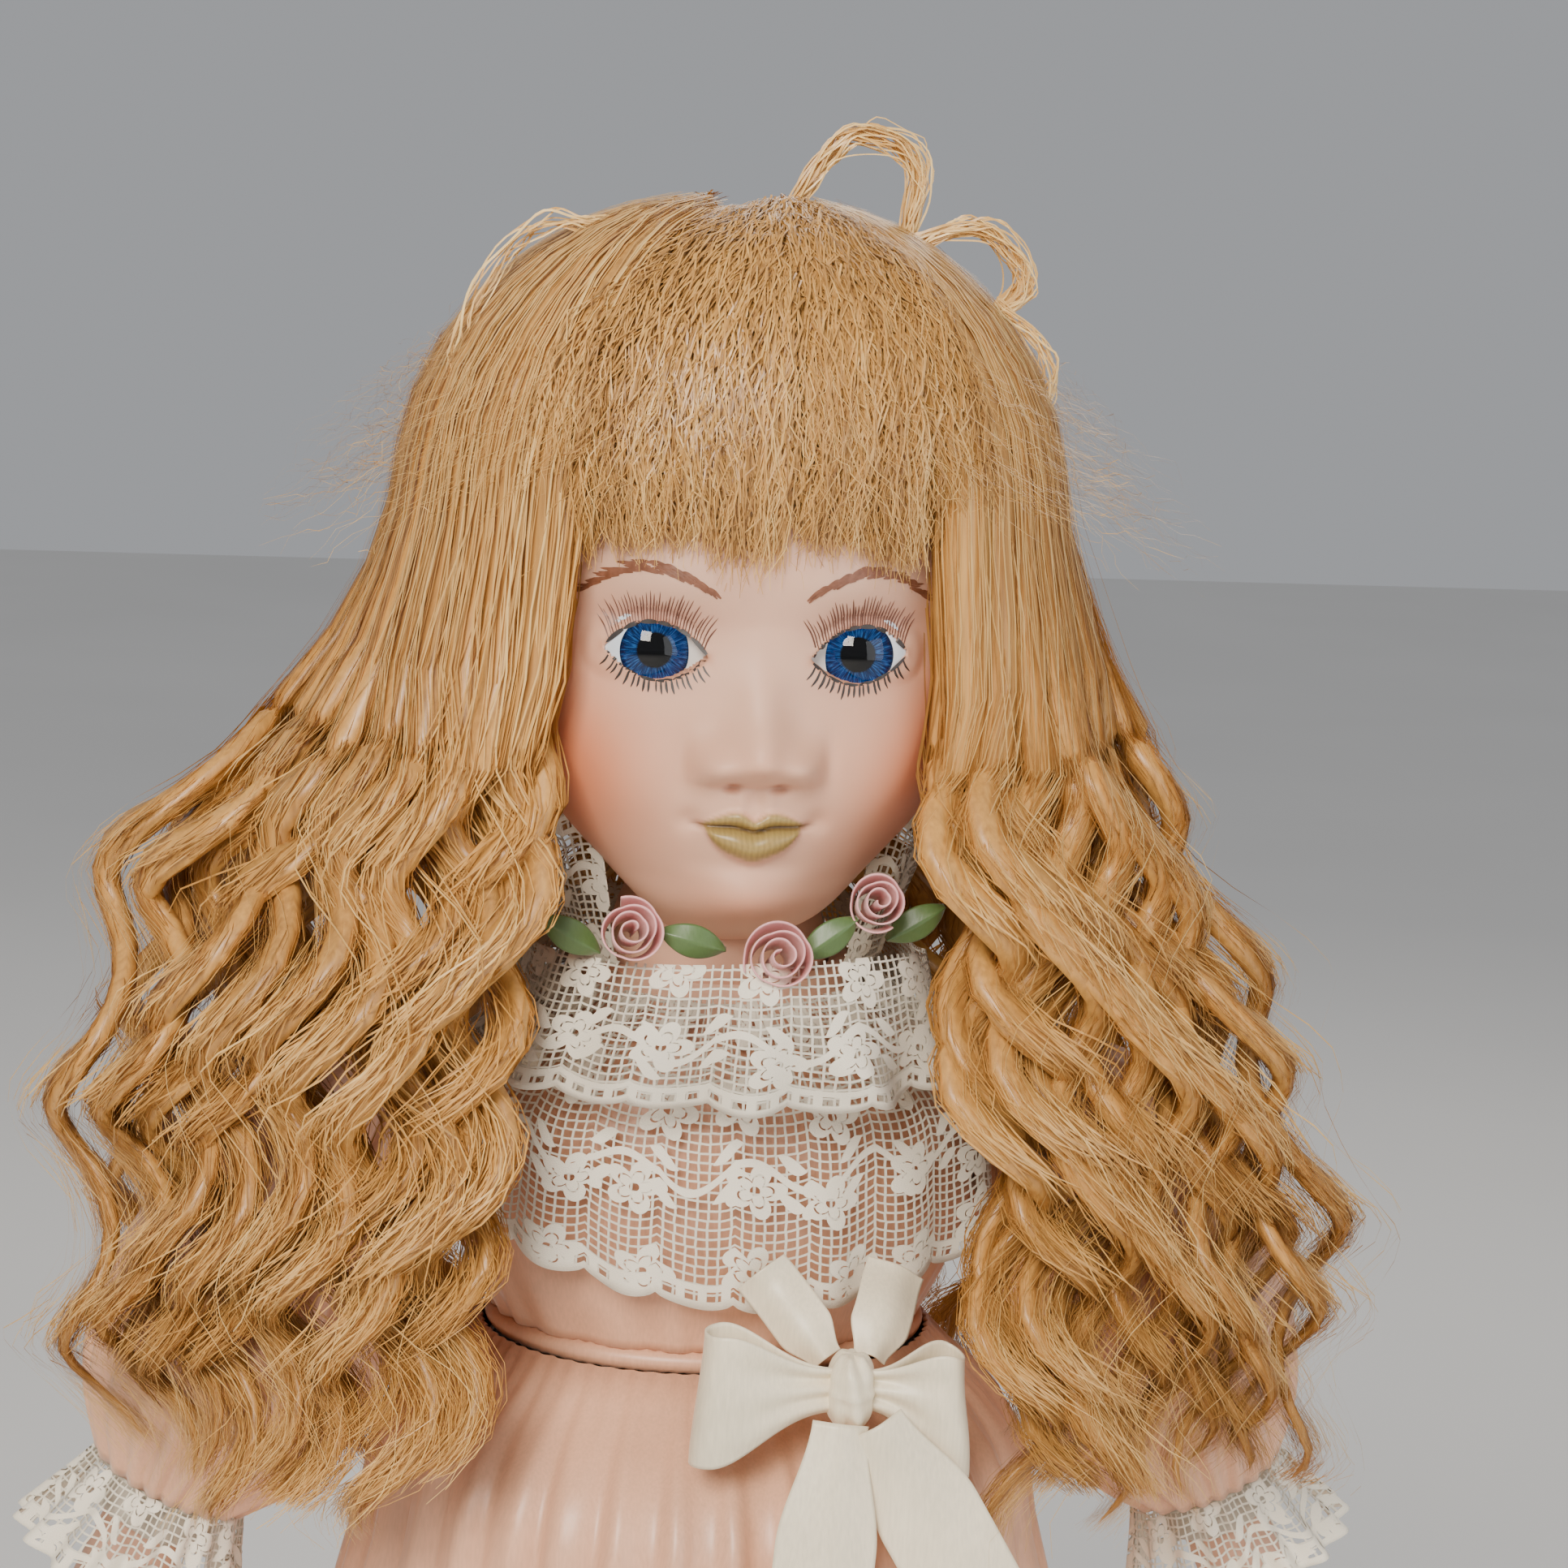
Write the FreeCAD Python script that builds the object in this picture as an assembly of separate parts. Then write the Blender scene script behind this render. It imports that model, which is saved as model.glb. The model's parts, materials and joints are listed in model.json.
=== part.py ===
"""Porcelain doll, 406 mm tall: bisque head, shoulder plate, arms and lower legs on a stuffed cloth body.

Millimetres, +Z up. The doll faces -Y, so its left side is +X. The origin is on the floor, in the middle
of the skirt's hem. Each function makes one piece of the doll, or one group of like pieces, in place.
"""

import FreeCAD, Part
import math
import os

V = FreeCAD.Vector
X_AXIS = V(1, 0, 0)
Y_AXIS = V(0, 1, 0)
Z_AXIS = V(0, 0, 1)
ORIGIN = V(0, 0, 0)

# ---- driving dimensions ----
# head, its chin and the levels of the face
CHIN_Z = 313.5
SKULL_TOP_Z = 397.0
HEAD_WALL = 3.0
EYE_Z = 348.0
EYE_X = 12.9
EYE_Y = -21.5
EYE_R = 9.0
IRIS_R = 4.4
NOSE_TIP_Z = 336.0
MOUTH_Z = 326.0
CROWN_CUT_Z = 384.0
CROWN_CUT_TILT = 14.0

# swivel neck: a ball on the head's neck in a cup in the shoulder plate
NECK_Y = 3.0
NECK_Z = 303.0
NECK_BALL_R = 15.0
NECK_WALL = 3.0
NECK_R = 12.0
NECK_FIT = 0.4
CUP_WALL = 3.0
BOLT_R = 1.5
BOLT_BOTTOM_Z = 261.0

# shoulders and arms
SHOULDER_X = 50.0
SHOULDER_Y = 2.0
SHOULDER_Z = 276.0
ARM_SPREAD = 25.0
ARM_BALL_R = 9.0
SLEEVE_CAP_R = 14.5
SLEEVE_GAP = 0.5
CLOTH_ARM_LENGTH = 60.0
BISQUE_ARM_START = 47.0
ELBOW_AT = 86.0
FOREARM_LENGTH = 40.0
BISQUE_ARM_R = 6.2
WRIST_R = 4.1
FOREARM_DIRECTION = V(0.06, -0.33, -0.94)

# waist, skirt and petticoat
WAIST_Z = 254.0
HEM_Z = 12.0
HEM_R = 104.0
CLOTH = 1.2
PETTICOAT_GAP = 1.6

# hips and legs
HIP_X = 24.0
HIP_Z = 190.0
THIGH_BALL_R = 16.5
PANTALOON_R = 20.0
HIP_GAP = 0.6
TORSO_BOTTOM_Z = 199.0
PANTALOON_HEM_Z = 66.0
SOLE_T = 3.0

# wig
WIG_TOP_Z = 405.0
WIG_BOTTOM_Z = 331.0
BANGS_Z = 362.0
FACE_HALF_WIDTH = 26.5
CURL_TOP_Z = 328.0
CURL_BOTTOM_Z = 236.0


# ---- helpers ----
OVAL_POINTS = 12


def oval(z, rx, ry, cy=0.0, cx=0.0):
    """A level ellipse as a smooth closed wire, always starting on its +X side."""
    points = []
    for i in range(OVAL_POINTS):
        turn = 2 * math.pi * i / OVAL_POINTS
        points.append(V(cx + rx * math.cos(turn), cy + ry * math.sin(turn), z))
    spline = Part.BSplineCurve()
    spline.interpolate(points, PeriodicFlag=True)
    return Part.Wire(spline.toShape())


def ovals(rows):
    """A smooth solid through level ellipses, each given as (z, rx, ry, cy)."""
    return Part.makeLoft([oval(*row) for row in rows], True)


def shrunk(rows, wall):
    """The same ellipses, drawn in by a wall's thickness."""
    return [(z, rx - wall, ry - wall, cy) for z, rx, ry, cy in rows]


def ring_shell(rows, wall):
    """A shell open at both ends, with the ellipses as its outside."""
    return ovals(rows).cut(ovals(shrunk(rows, wall)))


def curve(points):
    spline = Part.BSplineCurve()
    spline.interpolate(points)
    return spline.toShape()


def turned(outer, inner):
    """A ring about Z from an outer and an inner profile, each a list of (r, z) from top to bottom."""
    out = [V(r, 0, z) for r, z in outer]
    inn = [V(r, 0, z) for r, z in inner]
    edges = [
        curve(out),
        Part.makeLine(out[-1], inn[-1]),
        curve(inn),
        Part.makeLine(inn[0], out[0]),
    ]
    return Part.Face(Part.Wire(edges)).revolve(ORIGIN, Z_AXIS, 360)


def spun(profile):
    """A solid about Z from an outer profile of (r, z), closed on the axis with flat ends."""
    points = [V(r, 0, z) for r, z in profile]
    low = V(0, 0, points[-1].z)
    high = V(0, 0, points[0].z)
    edges = [
        curve(points),
        Part.makeLine(points[-1], low),
        Part.makeLine(low, high),
        Part.makeLine(high, points[0]),
    ]
    return Part.Face(Part.Wire(edges)).revolve(ORIGIN, Z_AXIS, 360)


def block(x0, x1, y0, y1, z0, z1):
    return Part.makeBox(x1 - x0, y1 - y0, z1 - z0, V(x0, y0, z0))


def ball(radius, x, y, z):
    return Part.makeSphere(radius, V(x, y, z))


def egg(rx, ry, rz, x, y, z):
    """An ellipsoid."""
    stretch = FreeCAD.Matrix()
    stretch.scale(rx, ry, rz)
    stretch.move(V(x, y, z))
    return Part.makeSphere(1.0).transformGeometry(stretch)


def joined(first, others):
    return first.fuse(others).removeSplitter()


def mirrored(shape):
    return shape.mirror(ORIGIN, X_AXIS)


def both_sides(shape):
    return Part.makeCompound([shape, mirrored(shape)])


# ---- head ----
HEAD_OUTSIDE = [
    (CHIN_Z, 8.0, 7.0, -19.0),
    (319.0, 17.5, 15.5, -13.5),
    (327.0, 26.0, 24.0, -7.5),
    (338.0, 31.0, 31.5, -2.0),
    (350.0, 33.5, 36.0, 2.0),
    (364.0, 34.5, 38.5, 4.0),
    (377.0, 31.5, 35.5, 5.0),
    (388.0, 24.0, 27.0, 5.0),
    (394.5, 13.5, 15.5, 5.0),
    (SKULL_TOP_Z, 5.0, 6.0, 5.0),
]
HEAD_INSIDE = [
    (z + (HEAD_WALL if z < NOSE_TIP_Z else -HEAD_WALL if z > CROWN_CUT_Z else 0.0), rx, ry, cy)
    for z, rx, ry, cy in shrunk(HEAD_OUTSIDE, HEAD_WALL)
]


def above_crown_cut(z):
    """The half space over the slanting crown opening, lifted to a height z."""
    lid = block(-60, 60, -60, 60, 0, 60)
    lid.rotate(ORIGIN, X_AXIS, -CROWN_CUT_TILT)
    lid.translate(V(0, NECK_Y, z))
    return lid


def eye_ball(radius):
    return both_sides(ball(radius, EYE_X, EYE_Y, EYE_Z))


def head_bisque():
    nose = [
        ball(4.0, 0, -34.0, NOSE_TIP_Z),
        ball(3.0, 3.9, -31.6, NOSE_TIP_Z - 1.6),
        ball(3.0, -3.9, -31.6, NOSE_TIP_Z - 1.6),
        Part.makeCone(3.4, 1.4, 14.0, V(0, -32.6, NOSE_TIP_Z), V(0, 0.05, 1.0)),
    ]
    lips = [egg(6.2, 3.4, 1.7, 0, -28.6, MOUTH_Z + 1.2), egg(5.2, 3.8, 2.1, 0, -27.6, MOUTH_Z - 2.0)]
    chin = egg(8.0, 7.0, 5.5, 0, -19.5, CHIN_Z + 5.5)
    neck = Part.makeCylinder(NECK_R, 24.0, V(0, NECK_Y, NECK_Z))
    neck_ball = ball(NECK_BALL_R, 0, NECK_Y, NECK_Z).cut(block(-20, 20, -20, 25, NECK_Z + 6, NECK_Z + 20))
    outside = joined(ovals(HEAD_OUTSIDE), nose + lips + [chin, neck, neck_ball])
    throat = Part.makeCylinder(NECK_R - NECK_WALL, 26.0, V(0, NECK_Y, NECK_Z))
    ball_inside = ball(NECK_BALL_R - NECK_WALL, 0, NECK_Y, NECK_Z)
    ball_inside = ball_inside.cut(block(-20, 20, -20, 25, NECK_Z + 8, NECK_Z + 20))
    bolt_way = Part.makeCylinder(5.0, 20.0, V(0, NECK_Y, NECK_Z - 18))
    inside = joined(ovals(HEAD_INSIDE), [throat, ball_inside, bolt_way])
    shell = outside.cut(inside).cut(above_crown_cut(CROWN_CUT_Z))
    opening = egg(6.3, 20.0, 3.5, EYE_X, -32.0, EYE_Z)
    return shell.cut(both_sides(opening)).cut(eye_ball(EYE_R + 0.1))


def crown_pate():
    """A pressed card dome that closes the head's crown opening."""
    lift = 0.1
    cap = ovals(HEAD_OUTSIDE).common(above_crown_cut(CROWN_CUT_Z + lift))
    hollow = ovals(HEAD_INSIDE)
    hollow.translate(V(0, 0, 1.4))
    return cap.cut(hollow)


def eye_white():
    """A glass eyeball, open behind, with a round seat for the iris in front."""
    shell = ball(EYE_R, EYE_X, EYE_Y, EYE_Z).cut(ball(EYE_R - 1.6, EYE_X, EYE_Y, EYE_Z))
    shell = shell.cut(block(0, 30, EYE_Y + 2.5, EYE_Y + 20, EYE_Z - 15, EYE_Z + 15))
    seat = Part.makeCylinder(IRIS_R + 0.05, 6.0, V(EYE_X, EYE_Y - EYE_R - 1, EYE_Z), Y_AXIS)
    return both_sides(shell.cut(seat))


def iris_back_y():
    """How far back the iris sits, level with the inside of the eyeball's wall."""
    return EYE_Y - math.sqrt((EYE_R - 1.6) ** 2 - IRIS_R**2)


def eye_iris():
    disc = Part.makeCylinder(IRIS_R, 0.6, V(EYE_X, iris_back_y() - 0.6, EYE_Z), Y_AXIS)
    return both_sides(disc)


def eye_lens():
    """The clear glass over the iris, bulging a little beyond the white."""
    bulge = ball(6.2, EYE_X, EYE_Y - 3.3, EYE_Z)
    core = Part.makeCylinder(IRIS_R, 9.0, V(EYE_X, iris_back_y() - 9.6, EYE_Z), Y_AXIS)
    return both_sides(bulge.common(core))


def eye_plaster():
    """A collar of plaster behind each eye, which holds it in its socket."""
    lump = ball(EYE_R + 3.0, EYE_X, EYE_Y, EYE_Z).common(block(1.0, 30, -60, EYE_Y + 2, 320, 375))
    lump = lump.common(ovals(shrunk(HEAD_INSIDE, 0.05)))
    return both_sides(lump.cut(ball(EYE_R + 0.05, EYE_X, EYE_Y, EYE_Z)))


# ---- wig ----
WIG_CAP_T = 0.8
WIG_OUTSIDE = [
    (WIG_BOTTOM_Z, 51.0, 35.0, 8.0),
    (345.0, 48.0, 39.5, 6.0),
    (360.0, 44.5, 43.0, 4.5),
    (375.0, 39.5, 42.0, 4.0),
    (389.0, 30.5, 33.5, 4.0),
    (400.0, 17.0, 19.0, 4.0),
    (WIG_TOP_Z, 6.0, 7.0, 4.0),
]


def skull(extra):
    """The head's outside from the wig's lower edge up, made larger by extra."""
    rows = [(z, rx + extra, ry + extra, cy) for z, rx, ry, cy in HEAD_OUTSIDE if z > NOSE_TIP_Z - 10]
    top = rows[-1]
    rows[-1] = (top[0] + extra, top[1], top[2], top[3])
    return ovals(rows)


def wig_cap():
    """The net cap that the hair is sewn to."""
    cap = skull(WIG_CAP_T + 0.2).cut(skull(0.2))
    return cap.common(above_crown_cut(360.0))


def wig_hair():
    """The whole of the hair that follows the head, before it is divided."""
    hair = ovals(WIG_OUTSIDE).cut(skull(WIG_CAP_T + 0.5))
    face = block(-FACE_HALF_WIDTH, FACE_HALF_WIDTH, -70, 2, WIG_BOTTOM_Z - 5, BANGS_Z)
    below_ears = block(-FACE_HALF_WIDTH, FACE_HALF_WIDTH, -70, 2, WIG_BOTTOM_Z - 5, 341)
    return hair.cut(face).cut(below_ears)


def bangs_space():
    return block(-FACE_HALF_WIDTH, FACE_HALF_WIDTH, -70, -16, BANGS_Z, 396)


def side_space(sign):
    x0, x1 = sorted((sign * FACE_HALF_WIDTH, sign * 70))
    return block(x0, x1, -70, 12, WIG_BOTTOM_Z - 5, 380)


def wig_bangs():
    return wig_hair().common(bangs_space())


def wig_side(sign):
    return wig_hair().common(side_space(sign))


def wig_crown():
    """The crown and the back of the head."""
    return wig_hair().cut(bangs_space()).cut(side_space(1)).cut(side_space(-1))


def wig_loops():
    """Three stray rings of hair that stand off the crown."""
    rings = [
        Part.makeTorus(7.0, 0.9, V(13, 2, 402), V(0.25, 1, 0.2)),
        Part.makeTorus(5.5, 0.8, V(34, 0, 390), V(0.2, 1, 0.1)),
        Part.makeTorus(6.5, 0.6, V(40, -4, 378), V(-0.2, 1, 0.0)),
    ]
    solid_hair = ovals(WIG_OUTSIDE)
    return Part.makeCompound([ring.cut(solid_hair) for ring in rings])


def wavy_lock(top, foot, radius, swing, half_waves):
    """A round lock of hair that waves evenly from its top to its foot, in the plane of the front."""
    step = (foot - top) * (1.0 / half_waves)
    side = V(step.z, 0, -step.x)
    side.normalize()
    edges = []
    for i in range(half_waves):
        start = top + step * i
        middle = start + step * 0.5 + side * (swing if i % 2 else -swing)
        edges.append(Part.Arc(start, middle, start + step).toShape())
    path = Part.Wire(edges)
    tangent = edges[0].tangentAt(edges[0].FirstParameter)
    section = Part.Wire(Part.Circle(top, tangent, radius).toShape())
    return path.makePipeShell([section], True, False)


def locks(rows):
    """Locks of (top point, foot point, radius, swing, half waves)."""
    return Part.makeCompound([wavy_lock(*row) for row in rows])


SIDE_LOCKS = 5
SIDE_LOCK_PITCH = 9.2
FRONT_LOCK_Y = -33.0
BACK_LOCKS = 9
BACK_LOCK_PITCH = 15.0
BACK_LOCK_TOP_Y = 41.5
BACK_LOCK_FOOT_Y = 57.0
LOCK_HALF_WAVES = 6


def curls_left():
    """The long waved locks that hang in front of the left shoulder, in two staggered layers."""
    rows = []
    for i in range(SIDE_LOCKS):
        front = i % 2
        top = V(38.0 + 3.6 * i, FRONT_LOCK_Y - 9.0 * front, CURL_TOP_Z - 10.0 * front)
        foot = V(41.0 + SIDE_LOCK_PITCH * i, top.y, CURL_BOTTOM_Z - 3.0 * front)
        rows.append((top, foot, 3.4, 1.8, LOCK_HALF_WAVES))
    return locks(rows)


def curls_right():
    return mirrored(curls_left())


def curls_back():
    """The long waved locks that hang down the back, over the skirt."""
    rows = []
    for i in range(BACK_LOCKS):
        x = BACK_LOCK_PITCH * (i - (BACK_LOCKS - 1) / 2)
        top = V(x * 0.62, BACK_LOCK_TOP_Y, CURL_TOP_Z)
        foot = V(x, BACK_LOCK_FOOT_Y, CURL_BOTTOM_Z - 12.0)
        rows.append((top, foot, 4.0, 2.2, LOCK_HALF_WAVES))
    return locks(rows)


# ---- swivel neck fittings ----
def neck_centre():
    return V(0, NECK_Y, NECK_Z)


def neck_button():
    """A wooden button with a rounded underside, inside the hollow ball of the neck."""
    button = Part.makeSphere(NECK_BALL_R - NECK_WALL - 0.4, neck_centre())
    button = button.common(block(-20, 20, -20, 25, NECK_Z - 20, NECK_Z - 6))
    return button.cut(Part.makeCylinder(BOLT_R + 0.1, 40, V(0, NECK_Y, NECK_Z - 30)))


def neck_bolt():
    """The bolt, with its head on top of the button."""
    rod = Part.makeCylinder(BOLT_R, NECK_Z - 5 - BOLT_BOTTOM_Z, V(0, NECK_Y, BOLT_BOTTOM_Z))
    head = Part.makeCylinder(3.2, 2.2, V(0, NECK_Y, NECK_Z - 5.9))
    return joined(rod, [head])


def washer(z, radius):
    ring = Part.makeCylinder(radius, 0.8, V(0, NECK_Y, z))
    return ring.cut(Part.makeCylinder(BOLT_R + 0.2, 2, V(0, NECK_Y, z - 0.5)))


SPRING_TOP_Z = 282.6
SPRING_BOTTOM_Z = 267.8


def neck_washers():
    return Part.makeCompound([washer(SPRING_TOP_Z + 0.3, 6.0), washer(SPRING_BOTTOM_Z - 1.1, 6.0)])


def neck_spring():
    """The compression spring that draws the head down into its cup."""
    wire_r = 0.6
    coil_r = 4.0
    pitch = 3.4
    height = SPRING_TOP_Z - SPRING_BOTTOM_Z - 2 * wire_r - 0.4
    helix = Part.makeHelix(pitch, height, coil_r)
    section = Part.Wire(Part.Circle(V(coil_r, 0, 0), Y_AXIS, wire_r).toShape())
    coil = Part.Wire(helix.Edges).makePipeShell([section], True, True)
    coil.translate(V(0, NECK_Y, SPRING_BOTTOM_Z + wire_r + 0.2))
    return coil


def neck_nut():
    """A wing nut that sets the spring's pull."""
    hub = Part.makeCylinder(3.0, 3.6, V(0, NECK_Y, SPRING_BOTTOM_Z - 5.0))
    wings = block(-7.5, 7.5, NECK_Y - 0.7, NECK_Y + 0.7, SPRING_BOTTOM_Z - 4.8, SPRING_BOTTOM_Z - 1.8)
    return joined(hub, [wings]).cut(Part.makeCylinder(BOLT_R + 0.05, 10, V(0, NECK_Y, SPRING_BOTTOM_Z - 8)))


# ---- shoulder plate and stuffed body ----
PLATE_OUTSIDE = [
    (267.0, 32.0, 21.0, 1.0),
    (278.0, 33.0, 22.0, 1.0),
    (286.0, 31.0, 21.5, 1.5),
    (292.5, 25.0, 20.0, 2.5),
    (297.0, 20.0, 19.0, NECK_Y),
    (302.0, 18.6, 18.6, NECK_Y),
]


def shoulder_plate():
    """A bisque breast plate with a round cup for the swivel neck."""
    outside = ovals(PLATE_OUTSIDE)
    thin = shrunk(PLATE_OUTSIDE, HEAD_WALL)
    inside_rows = [(z - HEAD_WALL * (z > 285.0), rx, ry, cy) for z, rx, ry, cy in thin]
    cup_r = NECK_BALL_R + NECK_FIT
    cup = Part.makeSphere(cup_r + CUP_WALL, neck_centre())
    cup = cup.common(block(-30, 30, -30, 35, NECK_Z - 30, 302.0))
    shell = joined(outside.cut(ovals(inside_rows)), [cup])
    shell = shell.cut(Part.makeSphere(cup_r, neck_centre()))
    shell = shell.cut(Part.makeCylinder(NECK_BALL_R + NECK_FIT, 8, V(0, NECK_Y, NECK_Z)))
    return shell.cut(Part.makeCylinder(BOLT_R + 0.6, 30, V(0, NECK_Y, NECK_Z - 30)))


TORSO_ROWS = [
    (TORSO_BOTTOM_Z, 35.0, 24.0, 1.0),
    (212.0, 33.5, 23.5, 1.0),
    (232.0, 27.5, 20.0, 1.0),
    (WAIST_Z, 25.0, 18.0, 1.0),
    (266.0, 27.0, 17.0, 1.0),
    (280.0, 26.5, 16.0, 1.0),
]
HARDWARE_ROOM_R = 8.6


def hip_hollows(radius):
    return both_sides(ball(radius, HIP_X, 0, HIP_Z))


def hardware_room(radius):
    return Part.makeCylinder(radius, 40, V(0, NECK_Y, SPRING_BOTTOM_Z - 8.0))


def torso_cloth():
    """The sewn cloth skin of the body, closed round a pocket for the neck fittings."""
    skin = 0.9
    thin = shrunk(TORSO_ROWS, skin)
    inner = [(z + skin * (z < 200) - skin * (z > 279), rx, ry, cy) for z, rx, ry, cy in thin]
    hollow = ovals(inner).cut(hip_hollows(PANTALOON_R + HIP_GAP + skin))
    hollow = hollow.cut(hardware_room(HARDWARE_ROOM_R + skin))
    body = ovals(TORSO_ROWS).cut(hip_hollows(PANTALOON_R + HIP_GAP)).cut(hardware_room(HARDWARE_ROOM_R))
    return body.cut(hollow)


def torso_stuffing():
    gap = 1.0
    thin = shrunk(TORSO_ROWS, gap)
    inner = [(z + gap * (z < 200) - gap * (z > 279), rx, ry, cy) for z, rx, ry, cy in thin]
    stuffing = ovals(inner).cut(hip_hollows(PANTALOON_R + HIP_GAP + gap))
    return stuffing.cut(hardware_room(HARDWARE_ROOM_R + gap))


# ---- dress ----
BODICE_ROWS = [
    (WAIST_Z, 28.5, 22.5, 0.5),
    (262.0, 33.0, 24.5, 0.5),
    (272.0, 35.6, 25.5, 0.5),
    (283.0, 35.2, 25.0, 1.0),
    (290.0, 30.5, 22.8, 1.5),
    (295.0, 24.5, 21.2, 2.5),
]


def shoulder_space(radius):
    return both_sides(ball(radius, SHOULDER_X, SHOULDER_Y, SHOULDER_Z))


def dress_bodice():
    return ring_shell(BODICE_ROWS, CLOTH).cut(shoulder_space(SLEEVE_CAP_R + SLEEVE_GAP))


def waist_piping():
    rows = [
        (WAIST_Z - 3.2, 29.2, 23.2, 0.5),
        (WAIST_Z - 1.7, 30.2, 24.2, 0.5),
        (WAIST_Z - 0.2, 29.2, 23.2, 0.5),
    ]
    return ring_shell(rows, 1.6)


def skirt_profile(inset):
    """The bell of the skirt, from under the waist to the hem, drawn in by inset."""
    rows = [(30.0, 250.6), (39.0, 243.0), (47.0, 222.0), (54.0, 198.0)]
    rows += [(69.5, 150.0), (84.0, 100.0), (96.0, 50.0)]
    rows.append((HEM_R, HEM_Z))
    return [(r - inset, z) for r, z in rows]


def dress_skirt():
    return turned(skirt_profile(0.0), skirt_profile(CLOTH))


def petticoat():
    inset = CLOTH + PETTICOAT_GAP
    outer = [(r, z - 2.0) for r, z in skirt_profile(inset)]
    inner = [(r, z - 2.0) for r, z in skirt_profile(inset + 1.0)]
    outer_hem = (HEM_R - inset - 0.6, HEM_Z + 1.5)
    inner_hem = (HEM_R - inset - 1.6, HEM_Z + 1.5)
    return turned(outer[:-1] + [outer_hem], inner[:-1] + [inner_hem])


def pantaloon_seat():
    """The upper part of the pantaloons, round the hips."""
    rows = [(TORSO_BOTTOM_Z, 37.0, 26.0, 1.0), (212.0, 35.6, 25.6, 1.0)]
    rows += [(232.0, 29.6, 22.1, 1.0), (244.0, 27.6, 20.4, 1.0)]
    return ring_shell(rows, 1.0).cut(hip_hollows(PANTALOON_R + HIP_GAP))


def back_snaps():
    """Three press studs that close the bodice at the back."""
    studs = []
    for z in (260.0, 270.0, 280.0):
        y = 25.6 if z < 265 else 26.8
        studs.append(Part.makeCylinder(2.2, 1.2, V(0, y, z), Y_AXIS))
    return Part.makeCompound(studs)


# ---- lace collar, roses and bow ----
COLLAR_HALF_WIDTH = 36.5
LOWER_COLLAR_ROWS = [
    (263.5, 41.0, 30.5, 0.5),
    (275.0, 41.0, 30.0, 0.5),
    (288.0, 37.5, 27.5, 1.0),
    (295.0, 29.0, 23.5, 2.0),
    (300.5, 21.5, 20.8, NECK_Y),
]
UPPER_COLLAR_ROWS = [
    (290.5, 37.0, 33.5, 1.5),
    (297.0, 33.0, 29.0, 2.0),
    (303.0, 25.0, 23.5, NECK_Y),
    (307.5, 21.0, 20.5, NECK_Y),
]


def trimmed_to_collar(shape):
    """Leaves out what would reach past the shoulders into the sleeves' way."""
    shape = shape.common(block(-COLLAR_HALF_WIDTH, COLLAR_HALF_WIDTH, -60, 60, 250, 320))
    return shape.cut(shoulder_space(SLEEVE_CAP_R + SLEEVE_GAP))


def collar_lower_lace():
    return trimmed_to_collar(ring_shell(LOWER_COLLAR_ROWS, 0.8))


def collar_upper_ruffle():
    return trimmed_to_collar(ring_shell(UPPER_COLLAR_ROWS, 0.8))


ROSE_R = 4.6
ROSES = [(-16.0, -37.5, 310.5), (3.0, -41.0, 308.0), (19.0, -36.5, 311.5)]
LEAVES = [
    (-7.0, -40.0, 309.0, 25.0),
    (11.5, -40.0, 309.5, -25.0),
    (-23.0, -33.5, 309.0, 60.0),
    (26.0, -31.0, 310.0, -60.0),
]


def ribbon_roses():
    return Part.makeCompound([ball(ROSE_R, *place) for place in ROSES])


def rose_leaves():
    made = []
    for x, y, z, turn in LEAVES:
        leaf = egg(2.2, 0.7, 4.0, 0, 0, 0)
        leaf.rotate(ORIGIN, Y_AXIS, turn)
        leaf.translate(V(x, y, z))
        made.append(leaf)
    return Part.makeCompound(made)


BOW_X = 13.0
BOW_Y = -40.5
BOW_Z = 253.5
# Each ribbon end of the bow: where it leaves the knot, where it ends, and its width.
BOW_ENDS = [
    ((11.5, -45.5, 248.5), (6.0, -54.5, 209.5), 8.5),
    ((14.5, -46.8, 248.5), (32.0, -48.0, 215.5), 8.5),
    ((9.5, -34.0, 254.5), (5.0, -29.0, 260.0), 5.5),
    ((16.5, -33.5, 254.5), (18.5, -26.5, 260.0), 5.5),
]
RIBBON_W = 14.0
RIBBON_T = 0.7


def bow_loop(sign):
    """One loop: a flattened ring of ribbon with its opening up and down."""
    centre_x = BOW_X + sign * 12.2
    outer = oval(BOW_Z - RIBBON_W / 2, 8.6, 3.6, BOW_Y, centre_x)
    inner = oval(BOW_Z - RIBBON_W / 2, 8.6 - RIBBON_T, 3.6 - RIBBON_T, BOW_Y, centre_x)
    ring = Part.Face(outer).cut(Part.Face(inner))
    return ring.extrude(V(0, 0, RIBBON_W))


def bow_loops():
    return Part.makeCompound([bow_loop(-1), bow_loop(1)])


def bow_knot():
    return egg(3.3, 3.8, 5.6, BOW_X, BOW_Y, BOW_Z)


def ribbon_strip(start, end, width):
    """A flat strip between two points, with its face turned outwards."""
    along = end - start
    side = along.cross(Y_AXIS)
    side.normalize()
    outward = along.cross(side)
    outward.normalize()
    half = side * (width / 2)
    corners = [start - half, start + half, end + half, end - half, start - half]
    return Part.Face(Part.makePolygon(corners)).extrude(outward * RIBBON_T)


def bow_tails():
    """Two tails that hang from the knot over the skirt, and two ends that run up under the lace."""
    strips = []
    for start, end, width in BOW_ENDS:
        strips.append(ribbon_strip(V(*start), V(*end), width))
    return Part.makeCompound(strips)


# ---- arms, made for the left and mirrored for the right ----
def arm_axis():
    tilt = math.radians(ARM_SPREAD)
    return V(math.sin(tilt), 0, -math.cos(tilt))


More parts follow.
